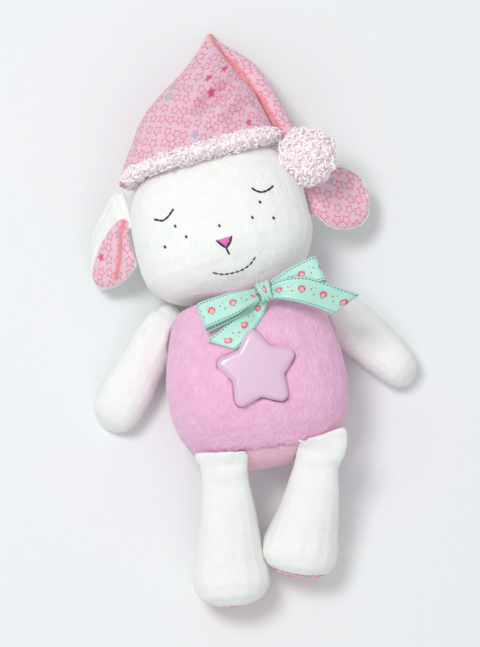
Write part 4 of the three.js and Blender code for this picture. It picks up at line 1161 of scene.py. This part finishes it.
# %% Eyes, smile and freckles
EYE_LEFT = [(-34.0, 8.0), (-32.0, 6.7), (-29.6, 5.6), (-26.3, 6.7), (-22.6, 9.6)]
EYE_RIGHT = [(20.0, 8.6), (21.9, 6.4), (24.8, 4.9), (28.4, 5.4), (31.6, 7.0)]
SMILE = [(-12.4, -28.6), (-8.9, -30.4), (-4.8, -31.4), (1.4, -31.7), (7.0, -30.3), (11.6, -27.2)]
left_eye, right_eye = (dashes(line, [3.1] * 6, -0.15) for line in (EYE_LEFT, EYE_RIGHT))
lids = stitched("stitched_eyes", left_eye + right_eye, 0.58)
smile = stitched("stitched_smile", dashes(SMILE, [3.0, 2.5, 2.3, 2.3, 2.3, 2.3, 2.4, 2.6, 2.8, 2.8], 0.5), 0.42)
FRECKLES = [(-24.3, 0.4), (-20.4, -7.0), (-32.5, -8.2), (22.1, -0.1), (15.8, -7.2), (26.6, -10.1), (-2.1, -6.7)]
freckles = stitched("stitched_freckles", [
    smooth_path([(u - 0.5, v - 0.15), (u + 0.5, v + 0.15)], 5) for u, v in FRECKLES
], 0.9, proud=0.4)
print("stitches:", len(left_eye) + len(right_eye), "in the eyes")

# %% [markdown]
# The nose is a small padded triangle of satin stitch. A fan of points is dropped on the head, raised in the
# middle, and thickened; two black stitches follow its lower sides, and a third runs down from its point.

# %% Nose
NOSE = [(-6.0, -13.6), (2.6, -13.7), (-1.9, -19.0)]
NOSE_LIFT, NOSE_SINK = 1.05, 0.12


def nose_patch(rings=8):
    corners = np.array(NOSE, float)
    centre = corners.mean(axis=0)
    rim = []
    for first, second in zip(corners, np.roll(corners, -1, axis=0)):
        rim.extend(first + (second - first) * share for share in np.linspace(0, 1, 9)[:-1])
    rim = np.array(rim)
    around = len(rim)
    middle, out = on_head(*centre)
    points = [middle + out * NOSE_LIFT * MM]
    for ring in range(1, rings + 1):
        share = ring / rings
        lift = NOSE_LIFT * (1 - share ** 3)
        for spot in centre + (rim - centre) * share:
            place, way = on_head(*spot)
            points.append(place + way * (lift - NOSE_SINK) * MM)
    faces = [[0, 1 + step, 1 + (step + 1) % around] for step in range(around)]
    faces += ring_faces(rings, around, first=1, turned=True)
    faces.append([1 + (rings - 1) * around + step for step in range(around)][::-1])
    piece = new_piece("satin_nose", points, faces)
    outward(piece, weld=1e-7)
    smooth_shade(piece)
    return piece


nose = nose_patch()
nose_lines = stitched("stitched_nose_edge", [
    smooth_path([NOSE[0], (-4.2, -16.4), NOSE[2]], 9), smooth_path([NOSE[1], (0.8, -16.6), NOSE[2]], 9),
    smooth_path([NOSE[2], (-1.7, -20.6), (-1.2, -22.6)], 7),
], 0.52, proud=0.35)
print("nose points:", len(nose.data.vertices))

# %% Thread materials
black_thread, tree, shader = new_material("black thread")
fibres = add_node(tree, "ShaderNodeTexNoise", {"Vector": object_place(tree), "Scale": 2600.0, "Detail": 2.0})
shade = mixed(tree, fibres.outputs["Fac"], (0.004, 0.004, 0.006, 1), (0.03, 0.03, 0.035, 1))
tree.links.new(shade, shader.inputs["Base Color"])
shader.inputs["Roughness"].default_value = 0.6
add_bump(tree, shader, fibres.outputs["Fac"], 0.0002, 0.6)

nose_thread, tree, shader = new_material("pink satin stitch")
leaning = add_node(tree, "ShaderNodeMapping", {
    "Vector": object_place(tree), "Rotation": (0, 0, 0.29)}).outputs[0]
rows = add_node(tree, "ShaderNodeTexWave", {
    "Vector": leaning, "Scale": 620.0, "Distortion": 2.0, "Detail": 2.0,
}, wave_type="BANDS", bands_direction="X").outputs["Fac"]
shade = mixed(tree, rows, (0.86, 0.13, 0.56, 1), (0.97, 0.26, 0.72, 1))
tree.links.new(shade, shader.inputs["Base Color"])
shader.inputs["Roughness"].default_value = 0.38
add_bump(tree, shader, rows, 0.0002, 0.7)
for piece, material in ((lids, black_thread), (smile, black_thread), (freckles, black_thread),
                        (nose, nose_thread), (nose_lines, black_thread)):
    piece.data.materials.append(material)
    stand_for(piece, "head", "white_plush")
print("face pieces:", lids.name, smile.name, freckles.name, nose.name)

# %% [markdown]
# ## The star button
# The star is one moulding of milky lilac-pink plastic that is pressed to switch the light on. Its outline is
# a five-pointed star with soft tips and notches. Rings of that outline are drawn in step by step; their
# height comes from a round edge and a gentle crown, so that no crease runs from the tips. A second set inside
# gives the moulding its wall. The cover is turned in round the star, with a soft rolled edge that hides the
# gap.

# %% Star outline
STAR_TIP, STAR_NOTCH, TIP_ROUND, NOTCH_ROUND = 25.6, 14.3, 4.3, 3.6


def star_outline(grow=0.0, per_corner=16, soften=10):
    """A star whose tips and notches are arcs, with nearly straight sides between them."""
    corners = []
    for step in range(10):
        radius = STAR_NOTCH if step % 2 else STAR_TIP
        angle = math.pi / 2 + math.pi * step / 5
        corners.append([radius * math.cos(angle), radius * math.sin(angle)])
    corners = np.array(corners)
    outline = []
    for step in range(10):
        corner = corners[step]
        back, ahead = unit(corners[step - 1] - corner), unit(corners[(step + 1) % 10] - corner)
        half = math.acos(back @ ahead) / 2
        size = NOTCH_ROUND if step % 2 else TIP_ROUND
        middle = unit(back + ahead)
        centre = corner + middle * size / math.sin(half)
        swing = math.pi / 2 - half
        side = np.array([-middle[1], middle[0]]) * (1 if (ahead @ [-middle[1], middle[0]]) > 0 else -1)
        for share in np.linspace(-1, 1, per_corner):
            turn = swing * share
            outline.append(centre + size * (side * math.sin(turn) - middle * math.cos(turn)))
    outline = evened(np.array(outline), soften)
    return outline + grow * outline_ways(outline)


def outline_ways(outline):
    """The way out at each place of the outline."""
    ways = np.roll(outline, -1, axis=0) - np.roll(outline, 1, axis=0)
    out = np.stack([ways[:, 1], -ways[:, 0]], axis=1)
    return out / np.linalg.norm(out, axis=1)[:, None]


# %% A pillow-shaped dome on the outline
EDGE_ROLL, EDGE_DROP = 3.2, 2.9


def crown_height(points, top):
    """A gentle crown over the whole star, without creases."""
    return top - 0.8 * (np.linalg.norm(points, axis=1) / 22) ** 2


def star_rings(steps, top, wall_low):
    """Rings from the skirt's foot up its side and over the dome; each step is an inset in mm."""
    outline = star_outline()
    out = outline_ways(outline)
    rings = [np.column_stack([outline - out * inset, np.full(len(outline), low)]) for inset, low in wall_low]
    for inset in steps:
        flat = (outline - out * min(inset, 1.6)) * (1 - max(inset - 1.6, 0) / 12.5)
        share = 1 - min(inset, EDGE_ROLL) / EDGE_ROLL
        drop = EDGE_DROP * (1 - math.sqrt(1 - share ** 2.4))
        rings.append(np.column_stack([flat, crown_height(flat, top) - drop]))
    return rings


def closed_rings(rings, top):
    """Points and faces of the rings, closed over the last one by a fan to one point at the top."""
    around = len(rings[0])
    points = np.concatenate(rings + [np.array([[0, 0, top]])])
    fan = fan_faces((len(rings) - 1) * around, around, len(points) - 1)
    return points, ring_faces(len(rings), around) + fan


star_seat = Seat(*(torso.world([0, 2.9, 0])[:2] / MM), 8.5)
STAR_TOP, WALL, SKIRT_FOOT = 79.2, 1.4, 62.7
FLANGE = [(-1.2, SKIRT_FOOT), (-1.2, 64.0), (0.0, 64.2)]  # inset and height, as for the inner skirt
INNER_SKIRT = [(1.5, SKIRT_FOOT), (1.5, 72.0)]
insets = [0.0, 0.08, 0.25, 0.5, 0.85, 1.25, 1.7, 2.2, 2.7, 3.2, 4.2, 5.6, 7.2, 9.0, 11.0, 13.0]
outer_points, outer_faces = closed_rings(star_rings(insets, STAR_TOP, FLANGE), STAR_TOP)
inner_rings = star_rings([2.4, 4.5, 8.0], STAR_TOP - WALL, INNER_SKIRT)
inner_points, inner_faces = closed_rings(inner_rings, STAR_TOP - WALL)
base = len(outer_points)
count = len(star_outline())
star_faces = outer_faces + [[base + corner for corner in face][::-1] for face in inner_faces]
star_faces += [[step, base + step, base + (step + 1) % count, (step + 1) % count] for step in range(count)]
star_points = star_seat.world(np.concatenate([outer_points, inner_points]))
star = new_piece("star_button_lens", star_points, star_faces)
outward(star, weld=1e-7)

# %% Post and collar under the star
POST, COLLAR = (32, 2.2, 16.6, 68.7), (40, 6.4, 1.2, 63.6)  # sides, radius, depth and middle's height
stem = []
for sides, radius, depth, height in (POST, COLLAR):
    deselect()
    bpy.ops.mesh.primitive_cylinder_add(
        vertices=sides, radius=radius * MM, depth=depth * MM, location=star_seat.world([0, 0, height]))
    stem.append(bpy.context.active_object)
    bpy.ops.object.transform_apply(location=True)
for part in stem:
    edge = part.modifiers.new("soft edge", "BEVEL")
    edge.width = 0.25 * MM
    edge.segments = 2
    apply_all(part)
joined(star, *stem)
bpy.ops.object.shade_smooth_by_angle(angle=math.radians(40))

star_plastic, tree, shader = new_material("milky star plastic")
clouds = add_node(tree, "ShaderNodeTexNoise", {"Vector": object_place(tree), "Scale": 45.0, "Detail": 2.0})
tone = mixed(tree, clouds.outputs["Fac"], (0.74, 0.5, 0.67, 1), (0.81, 0.57, 0.73, 1))
tree.links.new(tone, shader.inputs["Base Color"])
settle(shader, {
    "Roughness": 0.32, "Subsurface Weight": 0.25, "Subsurface Radius": (0.004, 0.002, 0.003),
    "Subsurface Scale": 1.0, "Coat Weight": 0.4, "Coat Roughness": 0.06,
})
star.data.materials.append(star_plastic)
stand_for(star, "star_button", "star_plastic", "star_lens")
print("star faces:", len(star.data.polygons))

# %% Rolled edge of the cover round the star
LIP_RADIUS, LIP_OUT, LIP_SIDES, LIP_SINK = 1.4, 1.42, 12, 0.9
lip_line = star_outline(LIP_OUT)
lip_ways = outline_ways(lip_line)
beside_star = [dropped(body_cover, star_seat, *spot)[0] for spot in star_outline(LIP_OUT + 2.2)]
heights = evened(np.array([place.z / MM for place in beside_star]), 30)
print("cover beside the star lies at", heights.min().round(1), "to", heights.max().round(1), "mm")
lip_points = []
for step in range(count):
    for corner in range(LIP_SIDES):
        turn = math.tau * corner / LIP_SIDES
        flat = lip_line[step] + lip_ways[step] * LIP_RADIUS * math.cos(turn)
        lip_points.append([*flat, heights[step] - LIP_SINK + LIP_RADIUS * math.sin(turn)])
lip_faces = ring_faces(count, LIP_SIDES, closed=True)
lip = new_piece("cover_lip", star_seat.world(np.array(lip_points)), lip_faces)
outward(lip, weld=1e-7)
finish(lip, pink_plush)
joined(body_cover, lip)

# %% [markdown]
# ## The satin bow
# The bow is one mint ribbon, half an inch wide, tied at the neck: two flat loops, a knot and two tails whose
# ends are cut at a slant. A strip is laid row by row along a line, narrow and pleated where the knot holds it
# and flat further out. Each piece is a thin sheet of cloth, and the length of ribbon in it is measured.

# %% Lay a ribbon strip
RIBBON = 12.7


def ribbon_strip(name, rows, columns=13, thick=0.35, closed=False):
    """rows: (centre, across, out, half width, pleat depth) in torso millimetres; gives its length too."""
    points, uvs = [], []
    walked = 0.0
    for step, (centre, across, out, half, pleat) in enumerate(rows):
        centre, across, out = (np.array(value, float) for value in (centre, across, out))
        if step:
            walked += np.linalg.norm(centre - np.array(rows[step - 1][0], float))
        for column in range(columns):
            t = 2 * column / (columns - 1) - 1
            wave = pleat * math.cos(3 * math.pi * t) * (1 - 0.25 * t * t)
            points.append(centre + across * half * t + out * wave)
            uvs.append((walked, t * RIBBON / 2))
    faces, corner_uvs = [], []
    turns = len(rows) if closed else len(rows) - 1
    for step in range(turns):
        for column in range(columns - 1):
            here = step * columns + column
            there = ((step + 1) % len(rows)) * columns + column
            face = [here, here + 1, there + 1, there]
            faces.append(face)
            for corner in face:
                u, v = uvs[corner]
                if closed and step == len(rows) - 1 and corner < columns:
                    u = walked + np.linalg.norm(np.array(rows[0][0]) - np.array(rows[-1][0]))
                corner_uvs.append((u, v))
    piece = new_piece(name, torso.world(np.array(points)), faces)
    set_print(piece, corner_uvs)
    body = piece.modifiers.new("cloth", "SOLIDIFY")
    body.thickness = thick * MM
    body.offset = 0
    apply_all(piece)
    smooth_shade(piece)
    return piece, walked


def path_rows(knots, count, widths, pleats, tilt=0.0):
    """Rows along a smooth line of (u, v, z) knots; widths and pleats are shares read along it."""
    line = smooth_path(knots, count)
    rows = []
    for step in range(count):
        share = step / (count - 1)
        way = unit(line[min(step + 1, count - 1)] - line[max(step - 1, 0)])
        across = unit(np.cross([0, 0, 1], way))
        out = np.cross(way, across)
        lean = math.radians(tilt * share)
        across = across * math.cos(lean) + out * math.sin(lean)
        out = np.cross(way, across)
        rows.append((line[step], across, out, RIBBON / 2 * np.interp(share, *widths),
                     np.interp(share, *pleats)))
    return rows


def body_front(u, v, low=63.5):
    """How high the cover lies here; low stands in beside the body."""
    found = dropped(body_cover, torso, u, v)
    return max(found[0].z / MM, low) if found else low

# %% Loops of the bow
KNOT = (8.0, 43.0)
KNOT_HEIGHT = 80.2
LOOP_START = 3.6  # how far from the knot's middle a loop comes out
TURNS_AT = 0.42  # share of the ribbon in each layer


def loop_rows(turn, length, count=46, low_shift=-1.8, low=76.9, high=81.2):
    """Out along the lower layer, round the end, and back along the upper one."""
    angle = math.radians(turn)
    way = np.array([math.cos(angle), math.sin(angle), 0])
    across = np.array([-way[1], way[0], 0])
    if across[1] < 0:
        across = -across
    middle = (low + high) / 2
    bend = (high - low) / 2
    rows = []
    for step in range(count):
        share = step / (count - 1)
        if share < TURNS_AT:
            reach = length * share / TURNS_AT
            z = low + np.interp(share / TURNS_AT, [0, 0.35, 1], [middle - low, 0.2, 0])
            side = low_shift * math.sin(math.pi * share / TURNS_AT * 0.5)
        elif share > 0.58:
            back = (1 - share) / TURNS_AT
            reach = length * back
            z = high - np.interp(back, [0, 0.35, 1], [high - middle, 0.2, 0])
            side = 0.0
        else:
            turn_share = (share - TURNS_AT) / 0.16
            reach = length + bend * math.sin(math.pi * turn_share)
            z = middle - bend * math.cos(math.pi * turn_share)
            side = low_shift * (1 - turn_share)
        centre = np.array([*KNOT, 0]) + way * (reach + LOOP_START) + across * side
        centre[2] = z
        rows.append([centre, across, None, 0, 0])
    for step, row in enumerate(rows):
        along = rows[min(step + 1, count - 1)][0] - rows[max(step - 1, 0)][0]
        row[2] = np.cross(unit(along - across * (along @ across)), across)
        reach = np.linalg.norm((row[0] - np.array([*KNOT, 0]))[:2])
        spread = np.interp(reach, [LOOP_START, 9, 18, 30], [0.52, 0.72, 0.98, 1.08])
        row[3] = RIBBON / 2 * spread
        row[4] = np.interp(reach, [LOOP_START, 9, 18, 30], [1.1, 0.75, 0.2, 0.0])
    return rows


left_loop, left_length = ribbon_strip("ribbon_loop_left", loop_rows(195.5, 30.4))
right_loop, right_length = ribbon_strip("ribbon_loop_right", loop_rows(17.5, 26.2))
print("loop lengths in mm:", round(left_length, 1), round(right_length, 1))

# %% Tails of the bow
LEFT_LINE = [(6.6, 39.6), (2.4, 34.4), (-3.2, 28.6), (-10.2, 22.6), (-17.6, 17.6)]
LEFT_START, OFF_COVER = 77.6, 1.5
left_knots = [(u, v, body_front(u, v) + OFF_COVER) for u, v in LEFT_LINE]
left_knots[0] = (*LEFT_LINE[0], LEFT_START)
right_knots = [
    (9.8, 41.8, 80.2), (19.0, 42.4, 83.0), (28.6, 41.0, 83.2), (38.5, 37.4, 79.6), (50.3, 32.4, 74.6),
]
left_tail_rows = path_rows(left_knots, 26, ([0, 0.25, 0.6, 1], [0.5, 0.8, 1.03, 1.06]),
                           ([0, 0.3, 1], [0.9, 0.4, 0]))
right_tail_rows = path_rows(right_knots, 28, ([0, 0.25, 0.5, 1], [0.5, 0.9, 1.12, 1.14]),
                            ([0, 0.3, 1], [0.9, 0.35, 0]), tilt=-4)


def slanted(rows, slant, reach=10):
    """The last rows lean along the ribbon, so that its end is cut at a slant."""
    count = len(rows)
    for step in range(count - reach, count):
        share = (step - (count - reach) + 1) / reach
        centre, across, out, half, pleat = rows[step]
        way = unit(np.array(rows[count - 1][0]) - np.array(rows[count - 2][0]))
        rows[step] = (centre, across + way * slant * share, out, half, pleat)
    return rows


left_tail, left_tail_length = ribbon_strip("ribbon_tail_left", slanted(left_tail_rows, -0.66))
right_tail, right_tail_length = ribbon_strip("ribbon_tail_right", slanted(right_tail_rows, 0.75))
print("tail lengths in mm:", round(left_tail_length, 1), round(right_tail_length, 1))

# %% Knot and neckband
def ring_rows(centre, axis, first, second, size_first, size_second, half, pleat, count, lumps):
    """Rows round a ring in the plane of first and second, gathered a little unevenly."""
    rows = []
    for step in range(count):
        turn = math.tau * step / count
        out = np.array(first) * math.cos(turn) + np.array(second) * math.sin(turn)
        spot = np.array(centre) + np.array(first) * math.cos(turn) * size_first \
            + np.array(second) * math.sin(turn) * size_second
        wide = half * (1 + 0.16 * math.sin(turn * 2 + 0.6))
        rows.append((spot, axis, out, wide, pleat * (1 + 0.3 * math.sin(lumps * turn))))
    return rows


lean = math.radians(14)
along_bow = np.array([math.cos(lean), math.sin(lean), 0])
over_bow = np.array([-math.sin(lean), math.cos(lean), 0])
knot, knot_length = ribbon_strip("ribbon_knot", ring_rows(
    (*KNOT, KNOT_HEIGHT), along_bow, over_bow, [0, 0, 1], 5.0, 3.1, 3.6, 0.6, 36, lumps=3), closed=True)
neck_turn = math.radians(10.5)
neck_along = np.array([-math.sin(neck_turn), math.cos(neck_turn), 0])
neck_across = np.array([math.cos(neck_turn), math.sin(neck_turn), 0])
neckband, neckband_length = ribbon_strip("ribbon_neckband", ring_rows(
    (-4.3, 51.2, 37.5), neck_along, neck_across, [0, 0, 1], 21.4, 21.4, 1.7, 0.85, 90, lumps=5),
    columns=25, thick=0.3, closed=True)
print("knot and neckband lengths in mm:", round(knot_length, 1), round(neckband_length, 1))

# %% [markdown]
# ## Satin
# The ribbon is mint satin. Along both edges runs a line of short dark stitches, and between them small
# coral hearts are printed in turn with pairs of golden dots. All of it is drawn from the ribbon's own UV map,
# which is in millimetres of cloth, so that the print bends with the ribbon.

# %% Satin material
STITCH_LINE, REPEAT, HEART = 5.35, 12.0, 1.75


def satin_ribbon(name):
    material, tree, shader = new_material(name)
    print_place = add_node(tree, "ShaderNodeUVMap", uv_map="print").outputs["UV"]
    place = add_node(tree, "ShaderNodeSeparateXYZ", {0: print_place}).outputs
    along, over = place["X"], place["Y"]
    edge = sum_node(tree, "ABSOLUTE", over)
    off_line = sum_node(tree, "ABSOLUTE", sum_node(tree, "SUBTRACT", edge, STITCH_LINE))
    on_line = stepped(tree, off_line, 0.24, 0.12)
    dash = stepped(tree, sum_node(tree, "PINGPONG", along, 0.85), 0.3, 0.42)
    stitch = sum_node(tree, "MULTIPLY", on_line, dash)
    spaced = sum_node(tree, "SUBTRACT", sum_node(tree, "WRAP", along, REPEAT, 0.0), REPEAT / 2)
    x = sum_node(tree, "DIVIDE", spaced, HEART)
    y = sum_node(tree, "DIVIDE", sum_node(tree, "ADD", over, -0.1), HEART)
    x_two, y_two = sum_node(tree, "MULTIPLY", x, x), sum_node(tree, "MULTIPLY", y, y)
    ring = sum_node(tree, "SUBTRACT", sum_node(tree, "ADD", x_two, y_two), 1.0)
    round_part = sum_node(tree, "POWER", ring, 3.0)
    bent_part = sum_node(tree, "MULTIPLY", x_two, sum_node(tree, "MULTIPLY", y_two, y))
    heart = sum_node(tree, "SUBTRACT", round_part, bent_part)
    inside = stepped(tree, heart, 0.06, -0.02)
    core = stepped(tree, heart, -0.1, -0.22)
    shifted = sum_node(tree, "WRAP", sum_node(tree, "ADD", along, REPEAT / 2), REPEAT, 0.0)
    far = sum_node(tree, "SUBTRACT", shifted, REPEAT / 2)

    def dot(shift_x, shift_y, size):
        dx, dy = sum_node(tree, "SUBTRACT", far, shift_x), sum_node(tree, "SUBTRACT", over, shift_y)
        dy_two = sum_node(tree, "MULTIPLY", dy, dy)
        away = sum_node(tree, "SQRT", sum_node(tree, "MULTIPLY_ADD", dx, dx, dy_two))
        return stepped(tree, away, size, size * 0.7)

    dots = sum_node(tree, "MAXIMUM", dot(-1.1, 1.1, 0.6), dot(1.0, -0.9, 0.6))
    dots = sum_node(tree, "MAXIMUM", dots, dot(0.9, 2.2, 0.38))
    drawn_out = add_node(tree, "ShaderNodeMapping", {"Vector": print_place, "Scale": (0.05, 2.2, 1)}).outputs[0]
    satin = add_node(tree, "ShaderNodeTexNoise", {
        "Vector": drawn_out, "Scale": 3.0, "Detail": 2.0}).outputs["Fac"]
    cloth = mixed(tree, satin, (0.4, 0.75, 0.64, 1), (0.56, 0.88, 0.79, 1))
    cloth = mixed(tree, inside, cloth, (0.55, 0.1, 0.12, 1))
    cloth = mixed(tree, core, cloth, (0.93, 0.42, 0.45, 1))
    cloth = mixed(tree, dots, cloth, (0.5, 0.3, 0.07, 1))
    cloth = mixed(tree, stitch, cloth, (0.03, 0.07, 0.07, 1))
    tree.links.new(cloth, shader.inputs["Base Color"])
    settle(shader, {"Roughness": 0.36, "Sheen Weight": 0.15, "Anisotropic": 0.3})
    raised = sum_node(tree, "MULTIPLY_ADD", stitch, 1.5, satin)
    add_bump(tree, shader, raised, 0.00012, 0.6)
    return material


satin_mint = satin_ribbon("mint satin")
bow_facts = (
    (left_loop, "bow_loop_left", left_length, "folded"),
    (right_loop, "bow_loop_right", right_length, "folded"),
    (left_tail, "bow_tail_left", left_tail_length, "hung"),
    (right_tail, "bow_tail_right", right_tail_length, "hung"),
    (knot, "bow_knot", knot_length, "gathered"),
    (neckband, "neckband", neckband_length, "gathered"),
)
for piece, node_name, length, held in bow_facts:
    piece.data.materials.append(satin_mint)
    stand_for(piece, "torso", "satin_ribbon", node_name)
    print(piece.name, round(length, 1), "mm of ribbon")

# %% [markdown]
# ## Inside the doll
# Behind the cover lies a ball of fibrefill with a pocket for the light module, and a slit in the back is
# closed by hook and loop tape. None of it shows while the doll is whole, but each piece gets its own surface,
# so that the doll can be taken apart: lumpy fibres, a tape with rows of hooks, a tape with soft loops.

# %% Fibrefill
filling = reskin(lifted("fibrefill_ball", "body_stuffing"), 1.3, relax=3)
points = eased(torso.local(points_of(filling)), BODY_EDGES)
points[:, 0] *= 0.985
set_points(filling, torso.world(points))
ruffle(filling, 6.0, 0.5, middle=0.9)
smooth_shade(filling)
fibrefill, tree, shader = new_material("fibrefill")
strands_of_fill = add_node(tree, "ShaderNodeTexNoise", {
    "Vector": object_place(tree), "Scale": 260.0, "Detail": 5.0, "Roughness": 0.7, "Distortion": 1.5,
}).outputs["Fac"]
tone = mixed(tree, strands_of_fill, (0.8, 0.79, 0.75, 1), (0.93, 0.92, 0.88, 1))
tree.links.new(tone, shader.inputs["Base Color"])
settle(shader, {"Roughness": 1, "Sheen Weight": 0.3})
add_bump(tree, shader, strands_of_fill, 0.002, 0.8)
filling.data.materials.append(fibrefill)
stand_for(filling, "torso", "filling", "body_stuffing")
print("fibrefill faces:", len(filling.data.polygons))

# %% Hook and loop tape
def closure_tape(name, node_name, low, high, scale, rough):
    tape = reskin(lifted(name, node_name), 0.5, relax=2)
    smooth_shade(tape)
    material, tree, shader = new_material(f"{name} cloth")
    cells = add_node(tree, "ShaderNodeTexVoronoi", {
        "Vector": object_place(tree), "Scale": scale, "Randomness": rough})
    # Painted shade: the low places between hooks or loops get the darker colour, the tops the lighter one
    height = stepped(tree, cells.outputs["Distance"], 0.55, 0.1)
    tree.links.new(mixed(tree, height, low, high), shader.inputs["Base Color"])
    shader.inputs["Roughness"].default_value = 0.8
    add_bump(tree, shader, height, 0.0006, 0.8)
    tape.data.materials.append(material)
    stand_for(tape, "torso", "closure_tape", node_name)
    return tape


hook_side = closure_tape(
    "tape_of_hooks", "hook_tape", (0.6, 0.62, 0.6, 1), (0.9, 0.9, 0.88, 1), 1400.0, 0.15)
loop_side = closure_tape(
    "tape_of_loops", "loop_tape", (0.74, 0.75, 0.73, 1), (0.93, 0.93, 0.91, 1), 1100.0, 1.0)
print("tape faces:", len(hook_side.data.polygons), len(loop_side.data.polygons))

# %% [markdown]
# ## The light module's finishes
# The hard pieces keep their CAD solids, because a mould and a lathe make just such shapes. Each gets a
# finish of its own: fine moulded grain on the case, brushed steel on screws, cells and spring, a green board,
# and clear lenses on the three small lamps.

# %% A moulded grain and a brushed grain, as groups
grain_group, grain_in, grain_out = new_group(
    "moulded grain", [("Vector", VECTOR, None), ("Light", COLOUR, None), ("Dark", COLOUR, None)],
    [("Color", COLOUR), ("Height", VALUE)],
)
coarse = add_node(grain_group, "ShaderNodeTexNoise", {
    "Vector": grain_in["Vector"], "Scale": 90.0, "Detail": 2.0}).outputs["Fac"]
fine = add_node(grain_group, "ShaderNodeTexNoise", {
    "Vector": grain_in["Vector"], "Scale": 2600.0, "Detail": 1.0}).outputs["Fac"]
grain_group.links.new(mixed(grain_group, stepped(grain_group, coarse, 0.3, 0.7), grain_in["Dark"],
                            grain_in["Light"]), grain_out["Color"])
grain_group.links.new(fine, grain_out["Height"])


def moulded(name, light, dark, roughness, transmission=0.0):
    material, tree, shader = new_material(name)
    grain = use_group(tree, grain_group, {
        "Vector": object_place(tree), "Light": (*light, 1), "Dark": (*dark, 1)})
    tree.links.new(grain["Color"], shader.inputs["Base Color"])
    settle(shader, {"Roughness": roughness, "Transmission Weight": transmission})
    add_bump(tree, shader, grain["Height"], 0.00004, 0.5)
    return material


def brushed_metal(name, light, dark, stretch):
    material, tree, shader = new_material(name)
    place = add_node(tree, "ShaderNodeMapping", {"Vector": object_place(tree), "Scale": stretch}).outputs[0]
    lines = add_node(tree, "ShaderNodeTexNoise", {
        "Vector": place, "Scale": 1500.0, "Detail": 2.0}).outputs["Fac"]
    tree.links.new(mixed(tree, lines, (*dark, 1), (*light, 1)), shader.inputs["Base Color"])
    shader.inputs["Metallic"].default_value = 1
    tree.links.new(stepped(tree, lines, 0.3, 0.7, 0.24, 0.38), shader.inputs["Roughness"])
    add_bump(tree, shader, lines, 0.00003, 0.5)
    return material


case_plastic = moulded("case plastic", (0.84, 0.83, 0.79), (0.78, 0.77, 0.73), 0.45)
switch_plastic = moulded("switch plastic", (0.05, 0.05, 0.05), (0.03, 0.03, 0.03), 0.4)
board_resin = moulded("board resin", (0.05, 0.24, 0.11), (0.03, 0.18, 0.08), 0.35)
lamp_lens = moulded("lamp lens", (0.9, 0.9, 0.93), (0.85, 0.85, 0.9), 0.08, transmission=0.85)
screw_steel = brushed_metal("screw steel", (0.66, 0.66, 0.67), (0.5, 0.5, 0.52), (1, 1, 0.1))
cell_steel = brushed_metal("cell steel", (0.76, 0.76, 0.77), (0.62, 0.62, 0.64), (0.05, 1, 1))
spring_steel = brushed_metal("spring steel", (0.7, 0.7, 0.71), (0.58, 0.58, 0.6), (1, 1, 0.3))
hard_finishes = {
    case_plastic: ("module_front_shell", "module_rear_shell", "battery_door"),
    switch_plastic: ("push_switch",),
    board_resin: ("circuit_board",),
    lamp_lens: ("led_1", "led_2", "led_3"),
    screw_steel: ("door_screw", "housing_screw_1", "housing_screw_2", "housing_screw_3"),
    cell_steel: ("cell_1", "cell_2", "cell_3", "contact_plate"),
    spring_steel: ("return_spring",),
}
for material, names in hard_finishes.items():
    for node_name in names:
        for slot in nodes[node_name].material_slots:
            slot.link = "OBJECT"
            slot.material = material
print("hard pieces finished:", sum(len(names) for names in hard_finishes.values()))
